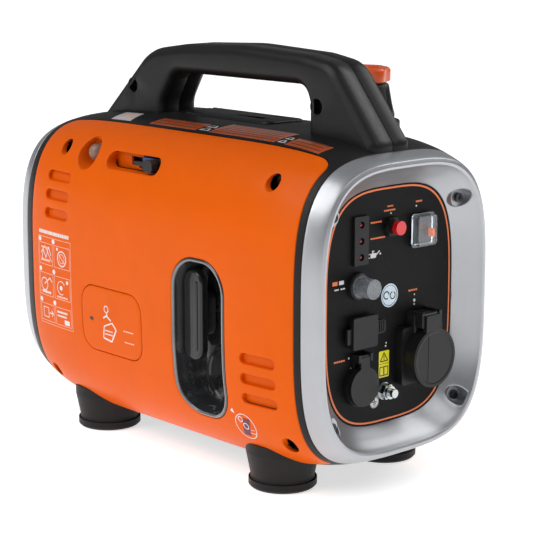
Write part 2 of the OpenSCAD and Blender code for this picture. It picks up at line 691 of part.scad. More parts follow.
module ground_bolt() color("#c9ccd0") union() {
  disc_x(panel_x - 14, panel_x + 18, 4, ground_c[0], ground_c[1]);
  disc_x(panel_x + gap, panel_x + 2, 8, ground_c[0], ground_c[1]);
  along_x(panel_x - 18, panel_x - 14) translate(ground_c) circle(7.5, $fn = 6);
}

module ground_nut() color("#d2d5d8") difference() {
  union() {
    along_x(panel_x + 4, panel_x + 10) translate(ground_c) circle(7.5, $fn = 6);
    disc_x(panel_x + 2.3, panel_x + 4.2, 8, ground_c[0], ground_c[1]);
    disc_x(panel_x + 10, panel_x + 13, 6, ground_c[0], ground_c[1]);
  }
  disc_x(panel_x, panel_x + 16, 4 + fit, ground_c[0], ground_c[1]);
}

// ---- fasteners -------------------------------------------------------------

// Pan head screw with a cross recess, pointing along +X from its head at the origin
module screw(length) {
  difference() {
    union() {
      along_x(0, 3) circle(4.4);
      along_x(2, length) circle(2.4);
    }
    translate([-1, -0.6, -2.4]) cube([2.2, 1.2, 4.8]);
    translate([-1, -2.4, -0.6]) cube([2.2, 4.8, 1.2]);
  }
}

module housing_screws() color("#2e3033") {
  for (s = [0, 1]) mirror([s, 0, 0]) for (y = [-rim_screw_y, rim_screw_y]) for (z = rim_screw_z)
    translate([212.7, y, z]) rotate([0, 0, 180]) screw(17);
  for (s = [0, 1]) mirror([0, s, 0]) for (h = handle_screws)
    translate([h[0], -18.1, h[1]]) rotate([0, 0, 90]) screw(17);
  for (s = [0, 1]) mirror([0, s, 0]) for (c = cover_screws)
    translate([c[0], side_y(c[0], c[1]) + screw_depth - 3.1, c[1]]) rotate([0, 0, 90]) screw(14);
}

// ---- engine and alternator -------------------------------------------------

chassis_z = 34;
mount_x = [-88, -18];
mount_y = [-38, 38];

module chassis() color("#2a2b2c") difference() {
  union() {
    translate([-168, -52, chassis_z]) cube([332, 104, 4.5]);
    for (x = [-150, 110]) translate([x, -52, chassis_z]) cube([5, 104, 12]);
  }
  for (x = mount_x) for (y = mount_y) disc_z(20, 50, 5, x, y);
}

module rubber_mounts() color("#121212") for (x = mount_x) for (y = mount_y) union() {
  disc_z(chassis_z + 4.6, 49.9, 11, x, y);
  disc_z(chassis_z + 0.5, chassis_z + 5, 4.8, x, y);
}

module crankcase() color(alloy) difference() {
  union() {
    along_x(-100, -6) translate([0, crank_z - 6]) slab(108, 118, 26);
    for (x = mount_x) for (y = mount_y) disc_z(50, 74, 12, x, y);
    along_z(160, 174.9) translate([-52, 0]) slab(70, 70, 8);
    disc_y(-80, -50, 13, -30, 118);
  }
  disc_x(-97, -8, 44, 0, crank_z);
  disc_x(-101, 0, journal_r + fit, 0, crank_z);
  disc_z(155, 180, 22.2, -52, 0);
  disc_y(-90, -45, 7, -30, 118);
}

// Finned cylinder with its bore
module cylinder_fins() {
  for (i = [0:5]) along_z(180 + i * 8, 183 + i * 8) translate([-52, 0]) slab(88, 88, 12);
}

module cylinder_barrel() color(alloy) difference() {
  union() {
    disc_z(175, 232, 30, -52, 0);
    along_z(175, 180) translate([-52, 0]) slab(70, 70, 8);
    cylinder_fins();
    along_z(226, 246) translate([-52, 0]) slab(88, 78, 10);
  }
  disc_z(174, 234, 21.7, -52, 0);
  disc_z(230, 250, 5 + fit, -18, 0);
}

module rocker_cover() color("#3a3b3d") union() {
  along_z(246.1, 262) translate([-62, 0]) slab(62, 70, 10);
  along_z(262, 268) translate([-62, 0]) slab(50, 58, 8);
}

module spark_plug() color("#d8d8d4") union() {
  disc_z(234, 247, 5, -18, 0);
  along_z(246.5, 252) translate([-18, 0]) circle(8, $fn = 6);
  disc_z(252, 270, 4.5, -18, 0);
}

module plug_cap() color("#151515") difference() {
  union() {
    disc_z(256, 292, 9, -18, 0);
    translate([-18, 0, 286]) rotate([0, 90, 0]) cylinder(r = 5, h = 26);
  }
  disc_z(250, 272, 4.5 + fit, -18, 0);
}

module crankshaft() color(steel) union() {
  disc_x(-104, 48, journal_r, 0, crank_z);
  for (x = [-64, -48]) difference() {
    disc_x(x, x + 8, 38, 0, crank_z);
    translate([x - 1, -40, crank_z + 14]) cube([10, 80, 30]);
  }
}

module flywheel() color("#55585c") difference() {
  disc_x(2, 37.5, flywheel_r, 0, crank_z);
  disc_x(0, 33, flywheel_r - 6, 0, crank_z);
  disc_x(0, 40, journal_r, 0, crank_z);
}

module stator() color("#9a5a32") difference() {
  union() {
    disc_x(-5.9, 2, 26, 0, crank_z);
    disc_x(-5.9, 30, 20, 0, crank_z);
    for (i = [0:11]) translate([0, 0, crank_z]) rotate([i * 30, 0, 0]) {
      translate([8, -4, 18]) cube([20, 8, 26]);
      translate([7, -7, 41]) cube([22, 14, 6]);
    }
  }
  disc_x(-10, 40, journal_r + 2, 0, crank_z);
}

module cooling_fan() color("#202122") union() {
  difference() {
    union() {
      disc_x(37.6, 41, fan_r, 0, crank_z);
      disc_x(40, 53, 19, 0, crank_z);
    }
    disc_x(42, 60, 15, 0, crank_z);
    disc_x(30, 60, journal_r, 0, crank_z);
  }
  for (i = [0:11]) translate([0, 0, crank_z]) rotate([i * 30, 0, 0])
    translate([40, -1.2, 34]) rotate([12, 0, 0]) cube([9, 2.4, 33]);
}

module fan_shroud() color("#1f2022") difference() {
  disc_x(-5.9, 50.9, 80, 0, crank_z);
  disc_x(-2.9, 60, 76, 0, crank_z);
  disc_x(-10, 0, 30, 0, crank_z);
  translate([-3, -90, crank_z + 40]) cube([30, 180, 60]);
}

module ignition_coil() color("#303234") union() {
  translate([8, 60, crank_z - 18]) cube([14, 12, 36]);
  translate([10, 57, crank_z - 16]) cube([10, 4, 7]);
  translate([10, 57, crank_z + 9]) cube([10, 4, 7]);
}

module carburettor() color(alloy) difference() {
  union() {
    along_y(-76, -45) translate([-24, 236]) slab(22, 26, 6);
    disc_z(206, 226, 11, -24, -62);
    disc_y(-46, -39.1, 9, -24, 236);
  }
  disc_y(-78, -30, 7, -24, 236);
}

module air_filter() color("#222325") difference() {
  along_y(-104, -76.1) translate([-48, 222]) slab(84, 60, 8);
  along_y(-101, -79) translate([-48, 222]) slab(78, 54, 6);
  disc_y(-80, -70, 7, -24, 236);
  disc_y(-110, -100, 8, -70, 222);
}

module muffler() color("#6c6a67") difference() {
  union() {
    along_x(-188, -124) translate([8, 140]) slab(130, 150, 24);
    disc_x(-207, -180, tail_r, exhaust_c[0], exhaust_c[1]);
    along_x(-130, -96.1) translate([24, 236]) circle(9);
    disc_z(205, 240, 9, -136, 24);
  }
  along_x(-186, -126) translate([8, 140]) slab(126, 146, 22);
  disc_x(-210, -180, tail_r - 1.5, exhaust_c[0], exhaust_c[1]);
}

module inverter_module() color("#8f9296") difference() {
  translate([126, -84, 44]) cube([34, 168, 142]);
  for (i = [0:12]) translate([125, -78 + i * 12.4, 40]) cube([14, 7, 150]);
}

left_casing();
right_casing();
left_side_cover();
right_side_cover();
front_bezel();
rear_bezel();
control_panel();
rear_grille();
rubber_feet();
spark_plug_hatch();
oil_cover();
recoil_surround();
starter_grip();
starter_rope();
fuel_cap();
fuel_cap_vent();
fuel_cap_seal();
filler_neck();
choke_lever();
primer_bulb();
led_block();
led_lenses();
reset_button();
reset_base();
eco_rocker();
eco_frame();
eco_cover();
dc_breaker();
breaker_boot();
usb_socket();
usb_cover();
dc_socket();
dc_lid();
ac_socket();
ac_lid();
ground_bolt();
ground_nut();
housing_screws();
chassis();
rubber_mounts();
crankcase();
cylinder_barrel();
rocker_cover();
spark_plug();
plug_cap();
crankshaft();
flywheel();
cooling_fan();
stator();
fan_shroud();
recoil_housing();
recoil_pulley();
recoil_spring();
ignition_coil();
carburettor();
air_filter();
muffler();
fuel_tank();
fuel_hose();
inverter_module();
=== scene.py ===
import bpy
import bmesh
import math
import random
import numpy as np
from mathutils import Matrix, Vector
from mathutils.geometry import delaunay_2d_cdt


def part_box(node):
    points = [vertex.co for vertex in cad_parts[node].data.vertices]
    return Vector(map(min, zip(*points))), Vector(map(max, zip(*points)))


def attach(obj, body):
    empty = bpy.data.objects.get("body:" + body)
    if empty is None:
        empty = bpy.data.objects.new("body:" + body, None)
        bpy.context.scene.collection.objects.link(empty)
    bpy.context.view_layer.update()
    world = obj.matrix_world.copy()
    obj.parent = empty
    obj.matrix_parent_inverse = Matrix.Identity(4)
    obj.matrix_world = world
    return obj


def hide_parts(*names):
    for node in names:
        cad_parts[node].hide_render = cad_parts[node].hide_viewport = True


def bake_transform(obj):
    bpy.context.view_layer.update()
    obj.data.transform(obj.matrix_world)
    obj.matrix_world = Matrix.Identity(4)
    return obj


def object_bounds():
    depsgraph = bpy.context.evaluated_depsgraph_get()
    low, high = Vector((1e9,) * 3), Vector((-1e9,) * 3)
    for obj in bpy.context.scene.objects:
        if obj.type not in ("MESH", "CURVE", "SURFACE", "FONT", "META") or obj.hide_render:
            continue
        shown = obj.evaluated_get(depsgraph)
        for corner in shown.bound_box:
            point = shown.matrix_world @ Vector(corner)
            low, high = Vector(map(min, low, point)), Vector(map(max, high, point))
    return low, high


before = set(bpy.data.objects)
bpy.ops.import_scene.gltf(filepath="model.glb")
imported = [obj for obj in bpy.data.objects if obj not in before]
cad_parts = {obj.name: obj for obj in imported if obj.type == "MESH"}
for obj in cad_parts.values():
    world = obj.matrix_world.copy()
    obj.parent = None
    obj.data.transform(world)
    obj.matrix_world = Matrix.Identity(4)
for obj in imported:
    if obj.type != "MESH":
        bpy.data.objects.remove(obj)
for leftover in ("Cube", "Light", "Camera"):
    if leftover in bpy.data.objects:
        bpy.data.objects.remove(bpy.data.objects[leftover])
cad_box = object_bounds()
random.seed(7)

# ---------------------------------------------------------------- driving dimensions, in mm
MM = 0.001


def span(node):
    lo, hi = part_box(node)
    return lo / MM, hi / MM


def middle(node):
    lo, hi = span(node)
    return (lo + hi) / 2


HALF_L = cad_box[1].x / MM
RIM_W, RIM_H, MID_W, MID_Z = 107.5, 133.4, 125.0, 172.5
TOP_SWELL, LOW_SWELL = 17.6, 22.0
POWER, SWELL_POWER = 3.5, 5.1
SEAM_X = 205.0
PANEL_X = span("control_panel")[1].x
PANEL_W, PANEL_H = 82.7, 109.7
COVER_T = 3.0
TOP_A, LOW_A = 111.3, 248.7
LEFT, RIGHT = -1, 1


def swell(x):
    return 1 - min(1, abs(x) / HALF_L) ** SWELL_POWER


def wide(x):
    return RIM_W + (MID_W - RIM_W) * swell(x)


def high(x):
    return RIM_H + TOP_SWELL * swell(x)


def deep(x):
    return RIM_H + LOW_SWELL * swell(x)


def bend(v):
    return math.copysign(abs(v) ** (2 / POWER), v)


def skin(x, a, d=0.0, side=LEFT):
    """A point on the housing at station x and angle a, from 90 at the top to 270 below, moved in by d."""
    s, c = math.sin(math.radians(a)), math.cos(math.radians(a))
    up = high(x) if s > 0 else deep(x)
    return (x, side * (wide(x) - d) * abs(bend(c)), MID_Z + (up - d) * bend(s))


def angle_xz(x, z):
    """The angle of the point of the side at station x and height z."""
    if z > MID_Z:
        return 180 - math.degrees(math.asin(min(1, (z - MID_Z) / high(x)) ** (POWER / 2)))
    return 180 + math.degrees(math.asin(min(1, (MID_Z - z) / deep(x)) ** (POWER / 2)))


def side_y(x, z, side=LEFT):
    return skin(x, angle_xz(x, z), 0, side)[1]


def top_z(x, y):
    return MID_Z + high(x) * (1 - (abs(y) / wide(x)) ** POWER) ** (1 / POWER)


A_TAB = np.linspace(90, 270, 2161)
_p = np.array([skin(0, a)[1:] for a in A_TAB])
_s = np.concatenate([[0], np.cumsum(np.linalg.norm(np.diff(_p, axis=0), axis=1))])
S_TAB = np.interp(180, A_TAB, _s) - _s


def s_of(a):
    return float(np.interp(a, A_TAB, S_TAB))


def a_of(s):
    return float(np.interp(s, S_TAB[::-1], A_TAB[::-1]))


# ---------------------------------------------------------------- outlines

def arc(cx, cy, r, a0, a1, n):
    return [(cx + r * math.cos(math.radians(a0 + (a1 - a0) * i / n)),
             cy + r * math.sin(math.radians(a0 + (a1 - a0) * i / n))) for i in range(n + 1)]


def circle(cx, cy, r, n=40):
    return arc(cx, cy, r, 0, 360 * (n - 1) / n, n - 1)


def between(p, q, n, first=0):
    """Points from p towards q in n equal steps, without q."""
    return [(p[0] + (q[0] - p[0]) * t / n, p[1] + (q[1] - p[1]) * t / n) for t in range(first, n)]


def pairs(items):
    """Each item of a closed loop with the one after it."""
    return list(zip(items, items[1:] + items[:1]))


def slab(cx, cy, w, h, r, n=8, fill=0):
    """A rounded rectangle. fill adds points along its straight sides."""
    r = max(0.05, min(r, w / 2 - 1e-3, h / 2 - 1e-3))
    pts = []
    for k, (sx, sy) in enumerate([(1, 1), (-1, 1), (-1, -1), (1, -1)]):
        pts += arc(cx + sx * (w / 2 - r), cy + sy * (h / 2 - r), r, 90 * k, 90 * k + 90, n)
    if fill:
        out = []
        for i, (p, q) in enumerate(pairs(pts)):
            out.append(p)
            if (i + 1) % (n + 1) == 0:
                out += between(p, q, fill, 1)
        pts = out
    return pts


def rounded(points, radii, n=5, closed=True):
    """Rounds the corners of a path of points of any dimension."""
    P = [np.array(p, float) for p in points]
    out = []
    for i, p in enumerate(P):
        r = radii[i]
        if r == 0 or (not closed and i in (0, len(P) - 1)):
            out.append(tuple(p))
            continue
        u, v = P[i - 1] - p, P[(i + 1) % len(P)] - p
        u, v = u / np.linalg.norm(u), v / np.linalg.norm(v)
        half = math.acos(max(-1, min(1, float(u @ v)))) / 2
        mid = (u + v) / np.linalg.norm(u + v)
        c = p + mid * r / math.sin(half)
        a, b = p + u * r / math.tan(half) - c, p + v * r / math.tan(half) - c
        for k in range(n + 1):
            f = a * (1 - k / n) + b * k / n
            out.append(tuple(c + f / np.linalg.norm(f) * r))
    return out


def inside(points, loop):
    """Which of an array of points lie inside a closed loop."""
    P, L = np.asarray(points, float), np.asarray(loop, float)
    x, y = P[:, :1], P[:, 1:]
    x0, y0 = L[:, 0], L[:, 1]
    x1, y1 = np.roll(x0, -1), np.roll(y0, -1)
    cross = ((y0 > y) != (y1 > y)) & (x < (x1 - x0) * (y - y0) / np.where(y1 == y0, 1e-12, y1 - y0) + x0)
    return cross.sum(1) % 2 == 1


def far(points, loop, gap):
    """Which points stand more than gap from a closed loop."""
    P, A = np.asarray(points, float), np.asarray(loop, float)
    B = np.roll(A, -1, axis=0)
    ok = np.ones(len(P), bool)
    for a, b in zip(A, B):
        d = b - a
        t = np.clip(((P - a) @ d) / max(1e-12, float(d @ d)), 0, 1)
        ok &= np.linalg.norm(P - a - t[:, None] * d, axis=1) > gap
    return ok


def offset(loop, d):
    """A closed loop, counter-clockwise, moved in by d along its normals."""
    L = np.asarray(loop, float)
    t = np.roll(L, -1, axis=0) - np.roll(L, 1, axis=0)
    t /= np.linalg.norm(t, axis=1)[:, None]
    return [tuple(p) for p in L + np.stack([-t[:, 1], t[:, 0]], 1) * d]


def fill_plane(outer, holes, inner):
    """Triangles over a closed outline less its holes. Gives (points, triangles), loops first."""
    pts, edges = [], []
    for loop in [outer] + holes:
        k, n = len(pts), len(loop)
        pts += [tuple(p) for p in loop]
        edges += [(k + i, k + (i + 1) % n) for i in range(n)]
    count = len(pts)
    pts += [tuple(p) for p in inner]
    res = delaunay_2d_cdt([Vector(p) for p in pts], edges, [], 1, 1e-7)
    back = [o[0] if o else -1 for o in res[3]]
    tri = np.array([[back[i] for i in f] for f in res[2] if len(f) == 3 and all(back[i] >= 0 for i in f)])
    mid = np.array([np.mean([pts[i] for i in f], axis=0) for f in tri])
    keep = inside(mid, outer)
    for h in holes:
        keep &= ~inside(mid, h)
    return pts, [tuple(int(i) for i in f) for f in tri[keep]], count


# ---------------------------------------------------------------- meshes

def solid(name, verts, faces, mat, body="housing", node=None, sharp=35):
    """A piece made of points in mm."""
    me = bpy.data.meshes.new(name)
    me.from_pydata([(p[0] * MM, p[1] * MM, p[2] * MM) for p in verts], [], faces)
    bm = bmesh.new()
    bm.from_mesh(me)
    bmesh.ops.remove_doubles(bm, verts=bm.verts, dist=2e-7)
    loose = [v for v in bm.verts if not v.link_faces]
    bmesh.ops.delete(bm, geom=loose, context="VERTS")
    bmesh.ops.recalc_face_normals(bm, faces=bm.faces)
    bm.to_mesh(me)
    bm.free()
    me.shade_smooth()
    me.set_sharp_from_angle(angle=math.radians(sharp))
    ob = bpy.data.objects.new(name, me)
    bpy.context.scene.collection.objects.link(ob)
    me.materials.append(mat)
    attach(ob, body)
    if node:
        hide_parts(*([node] if isinstance(node, str) else node))
    return ob


def join(parts):
    """(verts, faces) of several meshes as one."""
    V, F = [], []
    for v, f in parts:
        k = len(V)
        V += list(v)
        F += [tuple(i + k for i in face) for face in f]
    return V, F


def band(a, b):
    """Faces between two closed rings of point numbers."""
    n = len(a)
    return [(a[j], a[(j + 1) % n], b[(j + 1) % n], b[j]) for j in range(n)]


def loft(rings, caps=True, closed=False):
    """Skins rings of equal count. closed joins the last ring to the first."""
    n, m = len(rings[0]), len(rings)
    ids = [range(i * n, i * n + n) for i in range(m)]
    F = []
    for i in range(m if closed else m - 1):
        F += band(ids[i], ids[(i + 1) % m])
    if caps and not closed:
        F += [tuple(reversed(ids[0])), tuple(ids[-1])]
    return [p for r in rings for p in r], F


def lathe(profile, centre, axis="z", n=64, r_of=None):
    """Turns a profile of (radius, height) round an axis through centre."""
    rings = []
    for r, h in profile:
        ring = []
        for j in range(n):
            t = 2 * math.pi * j / n
            rr = r if r_of is None else r_of(r, h, t)
            u, v = rr * math.cos(t), rr * math.sin(t)
            ring.append({"z": (centre[0] + u, centre[1] + v, centre[2] + h),
                         "x": (centre[0] + h, centre[1] + u, centre[2] + v),
                         "y": (centre[0] + u, centre[1] - h, centre[2] + v)}[axis])
        rings.append(ring)
    return loft(rings)


def prism(loop, at, h0, h1, edge=0.0, steps=3, edge0=0.0):
    """Extrudes a loop drawn in a plane from h0 to h1, with the h0 edge rounded by edge0 and the h1 edge by edge.

    at(u, v, h) places a point.
    """
    rings = []
    ccw = sum(a[0] * b[1] - b[0] * a[1] for a, b in zip(loop, loop[1:] + loop[:1])) > 0
    sgn = 1 if ccw else -1
    up = 1 if h1 > h0 else -1
    turns = [math.pi / 2 * k / steps for k in range(steps + 1)]
    if edge0:
        rings += [[at(u, v, h0 + edge0 * (1 - math.cos(t)) * up)
                   for u, v in offset(loop, sgn * edge0 * (1 - math.sin(t)))] for t in turns]
    else:
        rings.append([at(u, v, h0) for u, v in loop])
    if edge:
        rings += [[at(u, v, h1 - up * edge * (1 - math.sin(t)))
                   for u, v in offset(loop, sgn * edge * (1 - math.cos(t)))] for t in turns]
    else:
        rings.append([at(u, v, h1) for u, v in loop])
    return loft(rings)


def at_x(u, v, h):
    return (h, u, v)


def at_y(u, v, h):
    return (u, h, v)


def at_z(u, v, h):
    return (u, v, h)


class Sheet:
    """A curved plate of the housing, with rounded holes, as one closed mesh.

    d0 is how far it lies inside the skin. grid is the distance between the points inside it.
    """

    def __init__(self, side, rim, holes=(), thick=COVER_T, d0=0.0, grid=6.0):
        self.side, self.d0, self.thick = side, d0, thick
        self.V, self.F = [], []
        loops = [self.levels(*rim, normal=True)] + [self.levels(*h) for h in holes]
        dom = [lv["dom"] for lv in loops]
        xs, ss = [p[0] for p in dom[0]], [p[1] for p in dom[0]]
        nx = max(2, round((max(xs) - min(xs)) / grid))
        ns = max(2, round((max(ss) - min(ss)) / grid))
        cand = np.array([(min(xs) + (max(xs) - min(xs)) * i / nx + (0.25 if j % 2 else -0.25) * grid,
                          min(ss) + (max(ss) - min(ss)) * j / ns) for i in range(1, nx) for j in range(1, ns)])
        ok = inside(cand, dom[0]) & far(cand, dom[0], grid * 0.45)
        for loop in dom[1:]:
            ok &= ~inside(cand, loop)
            ok &= far(cand, loop, grid * 0.45)
        pts, tris, count = fill_plane(dom[0], dom[1:], cand[ok])
        outer, inner = [], []
        for lv in loops:
            outer += lv["first"]
            inner += lv["last"]
        for x, s in pts[count:]:
            a = a_of(s)
            outer.append(self.add(skin(x, a, d0, side)))
            inner.append(self.add(skin(x, a, d0 + thick, side)))
        self.F += [tuple(outer[i] for i in f) for f in tris]
        self.F += [tuple(inner[i] for i in reversed(f)) for f in tris]

    def add(self, p):
        self.V.append(p)
        return len(self.V) - 1

    def place(self, x, a, kind, val, normal):
        """The point at (x, a): at Y = val for kind "y", else moved in by val."""
        if kind == "y":
            p = skin(x, a, 0, self.side)
            return (p[0], self.side * abs(val), p[2])
        if normal:
            return skin(x, a, self.d0 + val, self.side)
        p = skin(x, a, self.d0, self.side)
        return (p[0], p[1] - self.side * val, p[2])

    def levels(self, shape, fillet, walls=None, normal=False):
        """Builds the rings of one edge. shape(off) gives (x, a) points. walls is a list of (off, kind, value)."""
        steps = 4
        lv = [(fillet * (1 - math.sin(t)), "d", fillet * (1 - math.cos(t)))
              for t in [math.pi / 2 * k / steps for k in range(steps + 1)]]
        lv += walls if walls is not None else [(0.0, "d", self.thick)]
        rings = []
        for off, kind, val in lv:
            rings.append([self.add(self.place(x, a, kind, val, normal)) for x, a in shape(off)])
        for r0, r1 in zip(rings, rings[1:]):
            self.F += band(r0, r1)
        dom = [(x, s_of(a)) for x, a in shape(lv[0][0])]
        return {"dom": dom, "first": rings[0], "last": rings[-1]}


def side_hole(make):
    """A hole drawn in X and Z. make(off) gives its outline grown by off."""
    return lambda off: [(x, angle_xz(x, z)) for x, z in make(off)]


def slab_hole(x, z, w, h, r, n, fill=0):
    """A hole in the side with the outline of a rounded rectangle."""
    return side_hole(lambda off: slab(x, z, w + 2 * off, h + 2 * off, r + off, n, fill))


def round_hole(x, z, r, n):
    """A round hole in the side."""
    return side_hole(lambda off: circle(x, z, r + off, n))


# ---------------------------------------------------------------- materials

MIX_FACTOR, MIX_A, MIX_B, MIX_RESULT = 0, 6, 7, 2  # the RGBA sockets of a Mix node


def finish_of(name, color, rough, metal=0.0, grain=0.35, bump=0.15, mottle=0.06, rough_var=0.12,
              coat=0.0, coat_rough=0.15, clear=0.0, ior=1.45, flake=0.0, wear=0.0, wear_color=(0.5, 0.5, 0.5),
              glow=0.0, sheen=0.0, stretch=(1, 1, 1), scatter=0.0, spec=0.5):
    """A procedural finish.

    grain is the size of its texture in mm; mottle, rough_var and wear say how uneven it is.
    """
    m = bpy.data.materials.new(name)
    m.use_nodes = True
    nt = m.node_tree
    nd, ln = nt.nodes, nt.links
    b = nd["Principled BSDF"]
    tc = nd.new("ShaderNodeTexCoord")
    mp = nd.new("ShaderNodeMapping")
    mp.inputs["Scale"].default_value = stretch
    ln.new(tc.outputs["Object"], mp.inputs["Vector"])

    def noise(scale, detail=3.0, rough_=0.55):
        n = nd.new("ShaderNodeTexNoise")
        n.inputs["Scale"].default_value = scale
        n.inputs["Detail"].default_value = detail
        n.inputs["Roughness"].default_value = rough_
        ln.new(mp.outputs["Vector"], n.inputs["Vector"])
        return n

    def ramp(src, lo, hi, a, c):
        r = nd.new("ShaderNodeMapRange")
        r.inputs["From Min"].default_value = lo
        r.inputs["From Max"].default_value = hi
        r.inputs["To Min"].default_value = a
        r.inputs["To Max"].default_value = c
        ln.new(src, r.inputs["Value"])
        return r.outputs["Result"]

    def mix(fac, a, c):
        x = nd.new("ShaderNodeMix")
        x.data_type = "RGBA"
        for slot, v in ((MIX_A, a), (MIX_B, c)):
            if isinstance(v, tuple):
                x.inputs[slot].default_value = (*v[:3], 1)
            else:
                ln.new(v, x.inputs[slot])
        ln.new(fac, x.inputs[MIX_FACTOR])
        return x.outputs[MIX_RESULT]

    cloud = noise(28.0, 4.0)
    fine = noise(1000.0 / max(grain, 0.02), 2.0)
    smear = noise(190.0, 5.0, 0.7)
    dark = tuple(c * (1 - mottle) for c in color)
    light = tuple(min(1, c * (1 + mottle)) for c in color)
    col = mix(ramp(cloud.outputs["Fac"], 0.3, 0.7, 0, 1), dark, light)
    if flake:
        vo = nd.new("ShaderNodeTexVoronoi")
        vo.inputs["Scale"].default_value = 1000.0 / 0.28
        ln.new(mp.outputs["Vector"], vo.inputs["Vector"])
        sep = nd.new("ShaderNodeSeparateColor")
        ln.new(vo.outputs["Color"], sep.inputs["Color"])
        bright = tuple(min(1, c * (1 + flake)) for c in color)
        col = mix(ramp(sep.outputs[0], 0.55, 1.0, 0, 0.6), col, bright)
    if wear:
        marks = noise(75.0, 8.0, 0.75)
        mask = ramp(marks.outputs["Fac"], 0.60 - 0.1 * wear, 0.78 - 0.1 * wear, 0, 0.55 * wear)
        col = mix(mask, col, wear_color)
    ln.new(col, b.inputs["Base Color"])
    b.inputs["Metallic"].default_value = metal
    b.inputs["IOR"].default_value = ior
    b.inputs["Specular IOR Level"].default_value = spec
    rv = ramp(smear.outputs["Fac"], 0.3, 0.7, max(0.02, rough * (1 - rough_var)), min(1, rough * (1 + rough_var)))
    ln.new(rv, b.inputs["Roughness"])
    b.inputs["Coat Weight"].default_value = coat
    b.inputs["Coat Roughness"].default_value = coat_rough
    b.inputs["Transmission Weight"].default_value = clear
    b.inputs["Sheen Weight"].default_value = sheen
    if scatter:
        b.inputs["Subsurface Weight"].default_value = scatter
        b.inputs["Subsurface Radius"].default_value = (0.004, 0.003, 0.002)
    if glow:
        ln.new(col, b.inputs["Emission Color"])
        b.inputs["Emission Strength"].default_value = glow
    if bump:
        bp = nd.new("ShaderNodeBump")
        bp.inputs["Strength"].default_value = bump
        bp.inputs["Distance"].default_value = grain * MM * 0.3
        ln.new(fine.outputs["Fac"], bp.inputs["Height"])
        ln.new(bp.outputs["Normal"], b.inputs["Normal"])
        if coat:
            ln.new(bp.outputs["Normal"], b.inputs["Coat Normal"])
    return m


